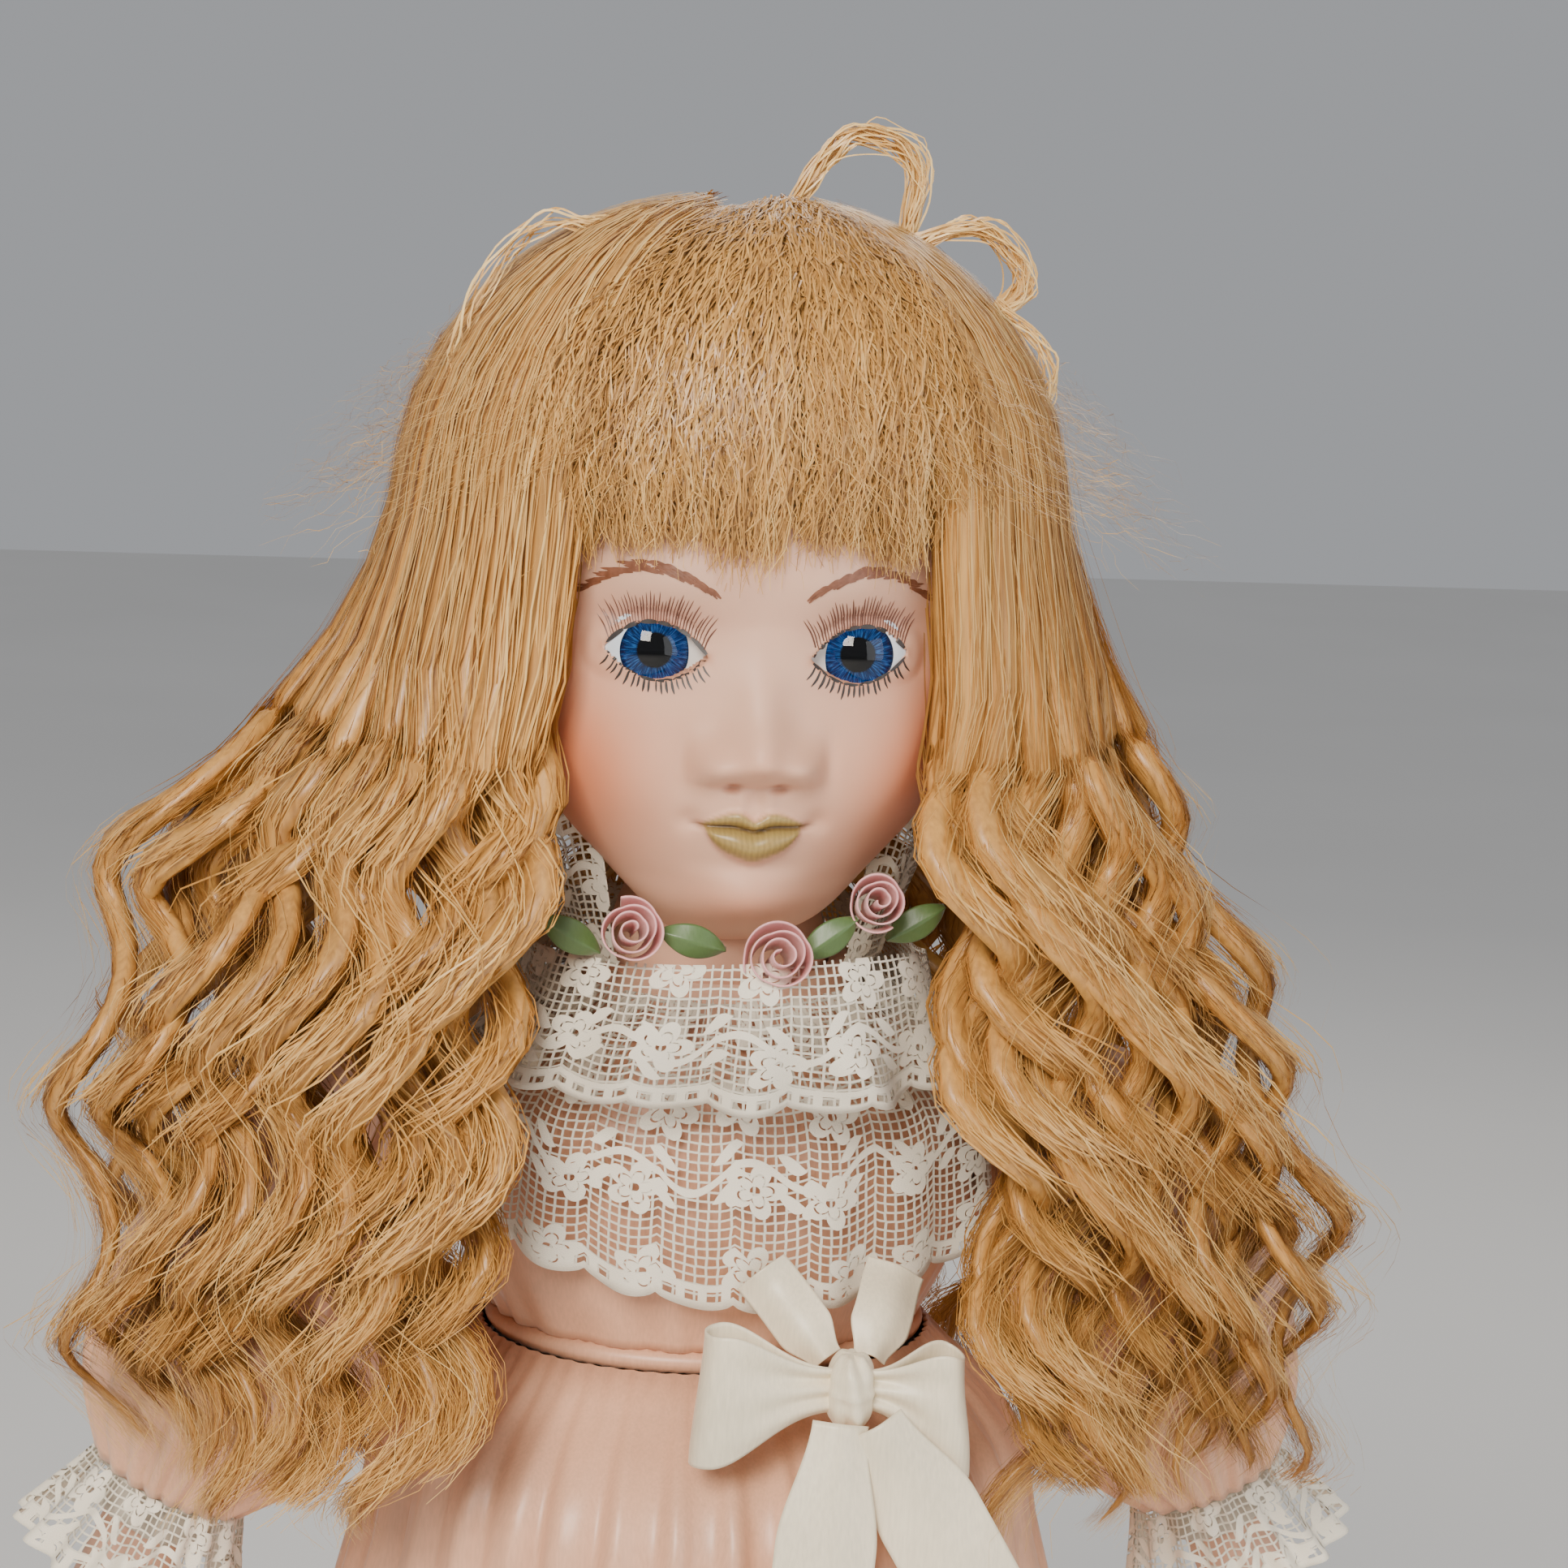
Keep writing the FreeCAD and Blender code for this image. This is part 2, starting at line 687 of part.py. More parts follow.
def at_arm(distance):
    """The point this far down the upper arm from the shoulder."""
    return V(SHOULDER_X, SHOULDER_Y, SHOULDER_Z) + arm_axis() * distance


def hung_from_shoulder(shape):
    """Places a shape made hanging straight down from the origin."""
    shape.rotate(ORIGIN, Y_AXIS, -ARM_SPREAD)
    shape.translate(V(SHOULDER_X, SHOULDER_Y, SHOULDER_Z))
    return shape


def upper_arm_cloth():
    """A stuffed cloth tube with a round top, sewn over the end of the bisque arm."""
    tube = Part.makeCylinder(ARM_BALL_R - 0.6, CLOTH_ARM_LENGTH, V(0, 0, -CLOTH_ARM_LENGTH))
    arm = joined(ball(ARM_BALL_R, 0, 0, 0), [tube])
    bore_length = CLOTH_ARM_LENGTH - BISQUE_ARM_START + 0.5
    bore = Part.makeCylinder(BISQUE_ARM_R + 0.15, bore_length + 1, V(0, 0, -CLOTH_ARM_LENGTH - 1))
    return hung_from_shoulder(arm.cut(bore))


def arm_binding():
    """Waxed thread that ties the cloth into the groove of the bisque arm."""
    rings = [Part.makeTorus(ARM_BALL_R + 0.1, 0.5, V(0, 0, -z), Z_AXIS) for z in (52.5, 53.7)]
    return hung_from_shoulder(Part.makeCompound(rings))


def finger(across, length, radius):
    """A straight finger with a round tip, hanging from its knuckle."""
    knuckle = V(0, across, -15.0)
    stem = Part.makeCone(radius, radius * 0.8, length, knuckle, V(0, 0, -1))
    tip = ball(radius * 0.84, 0, across, knuckle.z - length)
    palm_bone = capsule(V(0, across * 0.45, 0.5), knuckle, radius * 1.55)
    return [stem, tip] + palm_bone


def capsule(start, end, radius):
    """A round bar with a slightly larger ball at each end."""
    along = end - start
    bar = Part.makeCylinder(radius, along.Length, start, along)
    return [bar, ball(radius * 1.03, *start), ball(radius * 1.03, *end)]


def hand():
    """A hand that hangs with its palm towards the body and its thumb in front."""
    made = []
    for across, length, radius in ((-4.7, 11.0, 1.7), (-1.6, 13.0, 1.75), (1.5, 12.0, 1.7), (4.4, 9.5, 1.5)):
        made += finger(across, length, radius)
    made += capsule(V(-0.2, -3.5, -3.5), V(-1.2, -8.6, -10.0), 1.9)
    made += capsule(V(-1.2, -8.6, -10.0), V(-1.6, -9.8, -14.0), 1.5)
    return joined(made[0], made[1:])


def bisque_arm():
    """Upper stump, bent elbow, forearm and hand in one piece of bisque."""
    elbow = at_arm(ELBOW_AT)
    along = V(FOREARM_DIRECTION)
    along.normalize()
    length = ELBOW_AT - BISQUE_ARM_START
    stump = Part.makeCylinder(BISQUE_ARM_R, length, at_arm(BISQUE_ARM_START), arm_axis())
    forearm = Part.makeCone(BISQUE_ARM_R, WRIST_R, FOREARM_LENGTH, elbow, along)
    wrist = elbow + along * FOREARM_LENGTH
    swung_hand = hand()
    swung_hand.Placement = FreeCAD.Placement(wrist, FreeCAD.Rotation(V(0, 0, -1), along))
    rounds = [ball(BISQUE_ARM_R * 1.02, *elbow), forearm, ball(WRIST_R * 1.02, *wrist), swung_hand]
    return joined(stump, rounds)


def sleeve():
    """A puffed satin sleeve whose round cap turns in the bodice's armhole."""
    tilt = math.radians(20)
    cap_start = (SLEEVE_CAP_R * math.sin(tilt), SLEEVE_CAP_R * math.cos(tilt))
    outer = [cap_start, (10.8, 9.7), (14.2, 2.5), (15.6, -8.0), (18.6, -22.0)]
    outer += [(19.0, -34.0), (15.5, -46.0), (10.6, -53.0)]
    inner = [(r - 1.0, z - 0.6 * (z > 5)) for r, z in outer]
    inner[0] = (cap_start[0] - 0.6, cap_start[1] - 1.0)
    return hung_from_shoulder(turned(outer, inner))


def sleeve_lace():
    outer = [(11.0, -53.4), (12.5, -58.0), (15.5, -66.0)]
    inner = [(r - 0.8, z) for r, z in outer]
    return hung_from_shoulder(turned(outer, inner))


# ---- legs, made for the left and mirrored for the right ----
def at_hip(shape):
    """Places a shape made about the hip joint, hanging down from the origin."""
    shape.translate(V(HIP_X, 0, HIP_Z))
    return shape


LEG_TOP = -74.0
LEG_PROFILE = [(8.8, LEG_TOP), (8.9, -90.0), (10.2, -104.0), (10.6, -122.0)]
LEG_PROFILE += [(8.4, -148.0), (6.6, -166.0), (6.9, -176.0)]
THIGH_END = -88.0


def thigh_cloth():
    thigh = spun([(15.6, 0.0), (15.2, -25.0), (13.4, -60.0), (12.2, THIGH_END)])
    thigh = joined(thigh, [ball(THIGH_BALL_R, 0, 0, 0)])
    bore = Part.makeCylinder(9.2, THIGH_END * -1 + LEG_TOP + 0.5 + 1, V(0, 0, THIGH_END - 1))
    return at_hip(thigh.cut(bore))


def leg_binding():
    rings = [Part.makeTorus(13.2, 0.5, V(0, 0, z), Z_AXIS) for z in (-80.0, -81.2)]
    return at_hip(Part.makeCompound(rings))


FOOT_ROWS = [(9.0, 5.0, 5.5), (4.0, 7.6, 7.4), (-6.0, 8.4, 7.6), (-18.0, 9.4, 5.8)]
FOOT_ROWS += [(-28.0, 8.8, 4.6), (-35.5, 4.6, 3.0)]


def foot_shape(extra):
    """A foot from heel to toe, through ellipses that stand on the sole, made larger by extra."""
    wires = []
    for y, half_width, half_height in FOOT_ROWS:
        if y == FOOT_ROWS[0][0]:
            y += extra
        if y == FOOT_ROWS[-1][0]:
            y -= extra
        wire = oval(0, half_width + extra, half_height + extra)
        wire.rotate(ORIGIN, X_AXIS, 90)
        wire.translate(V(0, y, SOLE_T + 1.7 + half_height))
        wires.append(wire)
    foot = Part.makeLoft(wires, True)
    foot.translate(V(0, 0, -HIP_Z))
    return foot


def bisque_leg():
    """The hollow lower leg with its foot."""
    leg = spun(LEG_PROFILE)
    hollow = spun([(6.0, LEG_TOP), (6.0, -90.0), (7.2, -104.0), (7.4, -122.0), (5.4, -148.0), (3.6, -160.0)])
    return at_hip(joined(leg, [foot_shape(0.0)]).cut(hollow))


def pantaloon_leg():
    top = math.radians(20)
    start = (PANTALOON_R * math.sin(top), PANTALOON_R * math.cos(top))
    outer = [start, (14.6, 13.7), (19.3, 5.2), (19.8, -10.0), (19.0, -60.0)]
    outer += [(18.0, -100.0), (17.0, PANTALOON_HEM_Z - HIP_Z)]
    inner = [(r - 1.0, z - 0.6 * (z > 10)) for r, z in outer]
    inner[0] = (start[0] - 0.6, start[1] - 1.0)
    return at_hip(turned(outer, inner))


def sock():
    """A ribbed sock from the ankle to the middle of the calf."""
    outer = [(11.4, -130.0), (10.0, -145.0), (7.9, -163.0), (7.9, -168.0)]
    inner = [(r - 0.5, z) for r, z in outer]
    tube = turned(outer, inner).cut(bisque_solid_leg())
    return at_hip(tube)


def bisque_solid_leg():
    """The outside of the lower leg, as a solid, about the hip."""
    return spun(LEG_PROFILE)


def shoe_upper():
    """A strap shoe's leather upper, open on top for the ankle."""
    shell = foot_shape(1.5).cut(foot_shape(0.25))
    shell = shell.cut(block(-6.2, 6.2, -21, 20, 12.5 - HIP_Z, 40 - HIP_Z))
    shell = shell.cut(block(-20, 20, -60, 20, -HIP_Z, SOLE_T - HIP_Z + 0.02))
    shell = shell.cut(Part.makeCylinder(8.3, 30, V(0, 0, 9.0 - HIP_Z)))
    return at_hip(shell)


def shoe_sole():
    """The sole with its low heel."""
    length = 51.0
    width = 21.0
    middle_y = -13.0
    sole = Part.Face(oval(0, width / 2, length / 2, middle_y)).extrude(V(0, 0, SOLE_T))
    waist = block(-20, 20, -8, -1, -1, 1.2)
    sole = sole.cut(waist)
    sole.translate(V(0, 0, -HIP_Z))
    return at_hip(sole)


# ---- export ----
def single_pieces():
    return {
        "head_bisque": head_bisque(),
        "crown_pate": crown_pate(),
        "eye_whites": eye_white(),
        "eye_irises": eye_iris(),
        "eye_lenses": eye_lens(),
        "eye_plaster": eye_plaster(),
        "wig_cap": wig_cap(),
        "wig_crown": wig_crown(),
        "wig_bangs": wig_bangs(),
        "wig_side_left": wig_side(1),
        "wig_side_right": wig_side(-1),
        "wig_loops": wig_loops(),
        "curls_left": curls_left(),
        "curls_right": curls_right(),
        "curls_back": curls_back(),
        "neck_button": neck_button(),
        "neck_bolt": neck_bolt(),
        "neck_washers": neck_washers(),
        "neck_spring": neck_spring(),
        "neck_wing_nut": neck_nut(),
        "shoulder_plate": shoulder_plate(),
        "torso_cloth": torso_cloth(),
        "torso_stuffing": torso_stuffing(),
        "dress_bodice": dress_bodice(),
        "waist_piping": waist_piping(),
        "dress_skirt": dress_skirt(),
        "petticoat": petticoat(),
        "pantaloon_seat": pantaloon_seat(),
        "back_snaps": back_snaps(),
        "collar_lower_lace": collar_lower_lace(),
        "collar_upper_ruffle": collar_upper_ruffle(),
        "ribbon_roses": ribbon_roses(),
        "rose_leaves": rose_leaves(),
        "bow_loops": bow_loops(),
        "bow_knot": bow_knot(),
        "bow_tails": bow_tails(),
    }


def paired_pieces():
    return {
        "upper_arm_cloth": upper_arm_cloth(),
        "bisque_arm": bisque_arm(),
        "arm_binding": arm_binding(),
        "sleeve": sleeve(),
        "sleeve_lace": sleeve_lace(),
        "thigh_cloth": thigh_cloth(),
        "bisque_leg": bisque_leg(),
        "leg_binding": leg_binding(),
        "pantaloon_leg": pantaloon_leg(),
        "sock": sock(),
        "shoe_upper": shoe_upper(),
        "shoe_sole": shoe_sole(),
    }


def main():
    os.makedirs("parts", exist_ok=True)
    pieces = single_pieces()
    for name, left in paired_pieces().items():
        pieces["left_" + name] = left
        pieces["right_" + name] = mirrored(left)
    for name, shape in pieces.items():
        box = shape.BoundBox
        state = "ok" if shape.isValid() and len(shape.Solids) > 0 else "BAD"
        print(f"{name:24s} {state} solids {len(shape.Solids)} volume {shape.Volume:10.1f} "
              f"z {box.ZMin:6.1f} to {box.ZMax:6.1f}")
        shape.exportStep(f"parts/{name}.step")


main()
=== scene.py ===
"""Porcelain doll: the looks of a 406 mm bisque doll with a long waved wig, a lace collar and a satin dress.

The moving frame comes first. Every piece is made about the frame's own nodes, in metres, and most ride on the
body that carries them. The doll faces -Y, so its left side is +X. Lengths inside this file are millimetres
until points() puts them on a mesh.
"""

import json
import math

import bpy
import numpy as np
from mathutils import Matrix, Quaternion, Vector
from mathutils.bvhtree import BVHTree


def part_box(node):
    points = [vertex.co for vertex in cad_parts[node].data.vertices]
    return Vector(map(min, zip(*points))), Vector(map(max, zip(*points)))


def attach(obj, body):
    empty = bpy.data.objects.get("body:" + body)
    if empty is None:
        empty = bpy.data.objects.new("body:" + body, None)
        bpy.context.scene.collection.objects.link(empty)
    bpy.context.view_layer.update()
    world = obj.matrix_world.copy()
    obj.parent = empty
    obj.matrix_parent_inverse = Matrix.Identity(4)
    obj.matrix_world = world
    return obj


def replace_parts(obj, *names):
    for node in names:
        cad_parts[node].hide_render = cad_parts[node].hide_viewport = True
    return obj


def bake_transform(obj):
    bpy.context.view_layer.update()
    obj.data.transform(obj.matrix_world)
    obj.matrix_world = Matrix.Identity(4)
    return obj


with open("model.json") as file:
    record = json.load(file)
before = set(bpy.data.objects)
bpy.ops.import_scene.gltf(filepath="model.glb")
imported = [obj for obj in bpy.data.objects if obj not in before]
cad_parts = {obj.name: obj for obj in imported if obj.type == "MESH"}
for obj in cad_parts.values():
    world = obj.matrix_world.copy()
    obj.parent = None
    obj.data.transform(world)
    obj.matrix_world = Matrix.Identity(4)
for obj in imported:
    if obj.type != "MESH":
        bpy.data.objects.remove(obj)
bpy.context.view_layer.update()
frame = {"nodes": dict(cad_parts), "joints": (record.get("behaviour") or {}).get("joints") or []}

bl_info = {
    "name": "Porcelain doll",
    "version": (1, 0, 0),
    "blender": (4, 5, 0),
    "location": "View3D > Sidebar > Doll",
    "description": "Makes the visible pieces of a dressed bisque doll around its moving frame",
    "category": "Object",
}

MM = 0.001
TAU = 2.0 * math.pi
SIDES = {"left": 1.0, "right": -1.0}


# ---------------------------------------------------------------- settings
class DollWigSettings(bpy.types.PropertyGroup):
    front_locks: bpy.props.IntProperty(
        name="Front locks", description="Locks of hair in front of each shoulder", default=17,
        min=4, max=40
    )
    back_locks: bpy.props.IntProperty(
        name="Back locks", description="Locks of hair on each half of the back", default=13, min=4,
        max=40
    )
    strands: bpy.props.IntProperty(
        name="Strands", description="Strands in each front lock", default=165, min=20, max=400
    )
    bang_strands: bpy.props.IntProperty(
        name="Bang strands", description="Strands in the bangs", default=5200, min=100, max=9000
    )
    wave: bpy.props.FloatProperty(
        name="Wave", description="How far the long locks wave, in millimetres", default=5.4,
        min=0.0, max=12.0
    )
    # The pale colour also paints the lit side of the locks and the lit bands of the bangs.
    pale: bpy.props.FloatVectorProperty(
        name="Pale strands", description="Colour of the palest strands", subtype="COLOR",
        default=(0.97, 0.69, 0.28)
    )
    honey: bpy.props.FloatVectorProperty(
        name="Honey strands", description="Colour of most strands", subtype="COLOR",
        default=(0.62, 0.325, 0.085)
    )
    # The deep colour paints the shade inside the locks, in the bars that fill them and on the underlayer.
    deep: bpy.props.FloatVectorProperty(
        name="Deep strands", description="Colour inside the locks", subtype="COLOR",
        default=(0.17, 0.062, 0.016)
    )


class DollFaceSettings(bpy.types.PropertyGroup):
    skin: bpy.props.FloatVectorProperty(
        name="Bisque", description="Colour of the unpainted bisque", subtype="COLOR",
        default=(0.76, 0.46, 0.32)
    )
    blush: bpy.props.FloatVectorProperty(
        name="Blush", description="Colour fired on the cheeks", subtype="COLOR",
        default=(0.76, 0.225, 0.085)
    )
    lips: bpy.props.FloatVectorProperty(
        name="Lips", description="Colour of the painted lips", subtype="COLOR",
        default=(0.40, 0.29, 0.075)
    )
    lid: bpy.props.FloatVectorProperty(
        name="Eye shadow", description="Colour brushed above the eyes", subtype="COLOR",
        default=(0.42, 0.17, 0.12)
    )
    iris: bpy.props.FloatVectorProperty(
        name="Iris", description="Main colour of the iris", subtype="COLOR",
        default=(0.006, 0.085, 0.30)
    )


class DollDressSettings(bpy.types.PropertyGroup):
    satin: bpy.props.FloatVectorProperty(
        name="Dress satin", description="Colour of the dress", subtype="COLOR",
        default=(0.78, 0.43, 0.27)
    )
    cream: bpy.props.FloatVectorProperty(
        name="Bow satin", description="Colour of the bow", subtype="COLOR", default=(0.86, 0.76, 0.56)
    )
    lace: bpy.props.FloatVectorProperty(
        name="Lace", description="Colour of the lace thread", subtype="COLOR",
        default=(0.88, 0.81, 0.66)
    )
    rose: bpy.props.FloatVectorProperty(
        name="Roses", description="Colour of the ribbon roses", subtype="COLOR",
        default=(0.80, 0.40, 0.40)
    )
    leaf: bpy.props.FloatVectorProperty(
        name="Leaves", description="Colour of the ribbon leaves", subtype="COLOR",
        default=(0.085, 0.15, 0.045)
    )
    skirt_folds: bpy.props.IntProperty(
        name="Skirt folds", description="Gathers round the skirt", default=34, min=6, max=80
    )


def wig_settings():
    return bpy.context.scene.doll_wig


def face_settings():
    return bpy.context.scene.doll_face


def dress_settings():
    return bpy.context.scene.doll_dress


# ---------------------------------------------------------------- numbers
def smooth(value, low, high):
    """0 below low, 1 above high and a smooth rise between, for numbers or arrays."""
    t = np.clip((np.asarray(value, float) - low) / (high - low), 0.0, 1.0)
    return t * t * (3.0 - 2.0 * t)


def through(xs, ys, x):
    """A smooth curve through a few points, read at x. The xs rise."""
    xs = np.asarray(xs, float)
    ys = np.asarray(ys, float)
    slopes = np.gradient(ys, xs, axis=0)
    x = np.clip(x, xs[0], xs[-1])
    i = np.clip(np.searchsorted(xs, x, side="right") - 1, 0, len(xs) - 2)
    step = xs[i + 1] - xs[i]
    t = (x - xs[i]) / step
    if ys.ndim > 1:
        t = t[..., None]
        step = step[..., None]
    t2 = t * t
    t3 = t2 * t
    start = (2 * t3 - 3 * t2 + 1) * ys[i] + (t3 - 2 * t2 + t) * step * slopes[i]
    return start + (3 * t2 - 2 * t3) * ys[i + 1] + (t3 - t2) * step * slopes[i + 1]


def bell(x, z, at_x, at_z, wide, high):
    """A round bump, 1 at its middle."""
    return np.exp(-(((x - at_x) / wide) ** 2) - (((z - at_z) / high) ** 2))


def unit(vectors):
    return vectors / np.maximum(np.linalg.norm(vectors, axis=-1, keepdims=True), 1e-9)


# ---------------------------------------------------------------- meshes
def deselect():
    if bpy.context.object and bpy.context.object.mode != "OBJECT":
        bpy.ops.object.mode_set(mode="OBJECT")
    bpy.ops.object.select_all(action="DESELECT")


def points_of(piece):
    flat = np.empty(len(piece.data.vertices) * 3)
    piece.data.vertices.foreach_get("co", flat)
    return flat.reshape(-1, 3)


def points(piece, millimetres):
    """Puts millimetre points on a mesh in metres."""
    piece.data.vertices.foreach_set("co", (np.asarray(millimetres) * MM).ravel())
    piece.data.update()


def shade_smooth(piece):
    piece.data.polygons.foreach_set("use_smooth", [True] * len(piece.data.polygons))


def only(piece):
    deselect()
    piece.select_set(True)
    bpy.context.view_layer.objects.active = piece


def apply(piece, kind, **settings):
    """Adds a modifier, sets it and applies it."""
    only(piece)
    modifier = piece.modifiers.new(kind.title(), kind)
    for name, value in settings.items():
        setattr(modifier, name, value)
    bpy.ops.object.modifier_apply(modifier=modifier.name)


def merge_doubles(piece, outwards=True):
    only(piece)
    bpy.ops.object.mode_set(mode="EDIT")
    bpy.ops.mesh.select_all(action="SELECT")
    bpy.ops.mesh.remove_doubles(threshold=0.00002)
    if outwards:
        bpy.ops.mesh.normals_make_consistent(inside=False)
    bpy.ops.object.mode_set(mode="OBJECT")


def cloth(name, across, along, place, wall=0.0, wrap=False):
    """A grid primitive whose points move to place(u, v); a wall in millimetres gives it thickness."""
    deselect()
    bpy.ops.mesh.primitive_grid_add(x_subdivisions=across, y_subdivisions=along, size=2.0,
        calc_uvs=True)
    piece = bpy.context.object
    piece.name = name
    piece.data.name = name
    flat = points_of(piece)
    u = (flat[:, 0] + 1.0) / 2.0
    v = (flat[:, 1] + 1.0) / 2.0
    points(piece, place(u, v))
    shade_smooth(piece)
    if wrap:
        merge_doubles(piece)
    if wall:
        apply(piece, "SOLIDIFY", thickness=wall * MM, offset=-1.0, use_even_offset=False)
    return piece


def one_piece(name, pieces):
    """Joins pieces into one mesh."""
    deselect()
    for piece in pieces:
        piece.select_set(True)
    bpy.context.view_layer.objects.active = pieces[0]
    if len(pieces) > 1:
        bpy.ops.object.join()
    pieces[0].name = name
    pieces[0].data.name = name
    return pieces[0]


def from_arrays(name, corners, quads):
    """A mesh straight from arrays, for hair and brush strokes."""
    mesh = bpy.data.meshes.new(name)
    mesh.vertices.add(len(corners))
    mesh.vertices.foreach_set("co", (corners * MM).ravel())
    mesh.loops.add(quads.size)
    mesh.loops.foreach_set("vertex_index", quads.ravel().astype(np.int32))
    mesh.polygons.add(len(quads))
    mesh.polygons.foreach_set("loop_start", np.arange(0, quads.size, 4, dtype=np.int32))
    mesh.polygons.foreach_set("use_smooth", np.ones(len(quads), bool))
    mesh.update(calc_edges=True)
    mesh.validate()
    piece = bpy.data.objects.new(name, mesh)
    bpy.context.collection.objects.link(piece)
    return piece


def ribbons(name, paths, widths, outward, shade):
    """Thin strips along many paths of equal length, each facing outward, with a shade for each strip."""
    count, steps, _ = paths.shape
    along = unit(np.gradient(paths, axis=1))
    side = unit(np.cross(along, outward)) * (widths[..., None] / 2.0)
    corners = np.stack([paths - side, paths + side], axis=2).reshape(-1, 3)
    first = (np.arange(count)[:, None] * steps + np.arange(steps - 1)[None, :]) * 2
    quads = np.stack([first, first + 1, first + 3, first + 2], axis=-1).reshape(-1, 4)
    piece = from_arrays(name, corners, quads)
    tint = piece.data.attributes.new("shade", "FLOAT", "POINT")
    tint.data.foreach_set("value", np.repeat(shade.reshape(-1), 2).astype(np.float32))
    return piece


def tubes(name, paths, radii, outward, shade, sides=8):
    """Round bars along many paths, flattened against what they lie on, pinched almost shut at both ends."""
    count, steps, _ = paths.shape
    radii = radii.copy()
    radii[:, [0, -1]] = 0.02
    along = unit(np.gradient(paths, axis=1))
    across = unit(np.cross(along, outward))
    up = unit(np.cross(across, along))
    turn = np.arange(sides) * TAU / sides
    ring = (
        across[:, :, None, :] * np.cos(turn)[None, None, :, None]
        + up[:, :, None, :] * np.sin(turn)[None, None, :, None] * 0.6
    )
    corners = (paths[:, :, None, :] + ring * radii[:, :, None, None]).reshape(-1, 3)
    i = np.arange(count)[:, None, None] * steps * sides
    s = np.arange(steps - 1)[None, :, None] * sides
    k = np.arange(sides)[None, None, :]
    a = i + s + k
    b = i + s + (k + 1) % sides
    quads = np.stack([a, b, b + sides, a + sides], axis=-1).reshape(-1, 4)
    piece = from_arrays(name, corners, quads)
    tint = piece.data.attributes.new("shade", "FLOAT", "POINT")
    tint.data.foreach_set("value", np.repeat(shade.reshape(-1), sides).astype(np.float32))
    return piece


# ---------------------------------------------------------------- shader words
class Num:
    """A socket that can be used in a sum: each operation adds a Math node."""

    def __init__(self, shader, socket):
        self.shader = shader
        self.socket = socket

    def math(self, operation, *others):
        return self.shader.node("ShaderNodeMath", {"operation": operation}, [self, *others])

    def flipped(self, operation, other):
        return self.shader.node("ShaderNodeMath", {"operation": operation}, [other, self])

    def __add__(self, other):
        return self.math("ADD", other)

    def __radd__(self, other):
        return self.math("ADD", other)

    def __sub__(self, other):
        return self.math("SUBTRACT", other)

    def __rsub__(self, other):
        return self.flipped("SUBTRACT", other)

    def __mul__(self, other):
        return self.math("MULTIPLY", other)

    def __rmul__(self, other):
        return self.math("MULTIPLY", other)

    def __truediv__(self, other):
        return self.math("DIVIDE", other)

    def __gt__(self, other):
        return self.math("GREATER_THAN", other)

    def __lt__(self, other):
        return self.math("LESS_THAN", other)


class Shader:
    """A material being written, with one Principled surface."""

    def __init__(self, name):
        self.material = bpy.data.materials.new(name)
        self.material.use_nodes = True
        self.tree = self.material.node_tree
        self.tree.nodes.clear()
        self.output = self.tree.nodes.new("ShaderNodeOutputMaterial")
        self.surface = self.tree.nodes.new("ShaderNodeBsdfPrincipled")
        self.tree.links.new(self.surface.outputs[0], self.output.inputs["Surface"])

    def node(self, kind, settings=None, values=None, out=0):
        """Any node: its settings first, then the values or links of its sockets, by name or in order."""
        made = self.tree.nodes.new(kind)
        for name, value in (settings or {}).items():
            if name == "stops":
                self.ramp(made, value)
            else:
                setattr(made, name, value)
        pairs = values.items() if isinstance(values, dict) else enumerate(values or [])
        for key, value in pairs:
            self.put(made.inputs[key], value)
        return Num(self, made.outputs[out])

    def ramp(self, made, stops):
        elements = made.color_ramp.elements
        while len(elements) < len(stops):
            elements.new(0.5)
        for element, (position, colour) in zip(elements, stops):
            element.position = position
            element.color = (*colour, 1.0)

    def put(self, socket, value):
        if isinstance(value, Num):
            self.tree.links.new(value.socket, socket)
        elif hasattr(value, "__len__") and not isinstance(value,
            str) and len(socket.default_value) == 4:
            socket.default_value = (*value[:3], 1.0)
        else:
            socket.default_value = value

    def set(self, **values):
        """Sets the surface's own sockets: base_color stands for Base Color."""
        for name, value in values.items():
            self.put(self.surface.inputs[name.replace("_", " ").title().replace("Ior", "IOR")], value)
        return self

    def place(self):
        return self.node("ShaderNodeTexCoord", out="Object")

    def flat(self):
        return self.node("ShaderNodeUVMap")

    def noise(self, scale, where=None, detail=3.0, rough=0.5):
        return self.node(
            "ShaderNodeTexNoise", None,
            {"Vector": where or self.place(), "Scale": scale, "Detail": detail, "Roughness": rough},
        )

    def attribute(self, name, out="Fac"):
        return self.node("ShaderNodeAttribute", {"attribute_name": name}, out=out)

    def stretch(self, where, scale):
        return self.node("ShaderNodeMapping", None, {"Vector": where, "Scale": scale})

    def mix(self, factor, low, high, blend="MIX"):
        made = self.tree.nodes.new("ShaderNodeMix")
        made.data_type = "RGBA"
        made.blend_type = blend
        self.put(made.inputs[0], factor)
        self.put(made.inputs[6], low)
        self.put(made.inputs[7], high)
        return Num(self, made.outputs[2])

    def colours(self, factor, *stops):
        return self.node("ShaderNodeValToRGB", {"stops": stops}, [factor])

    def bump(self, height, strength=0.3, distance=0.0002):
        return self.node(
            "ShaderNodeBump", None, {"Strength": strength, "Distance": distance, "Height": height}
        )

    def xyz(self, where):
        split = self.tree.nodes.new("ShaderNodeSeparateXYZ")
        self.put(split.inputs[0], where)
        return [Num(self, split.outputs[i]) for i in range(3)]


def dress_in(piece, material):
    piece.data.materials.clear()
    piece.data.materials.append(material)
    return piece


def finish_node(node, material):
    """Gives a frame node its material."""
    for slot in frame["nodes"][node].material_slots:
        slot.material = material


MADE = {}


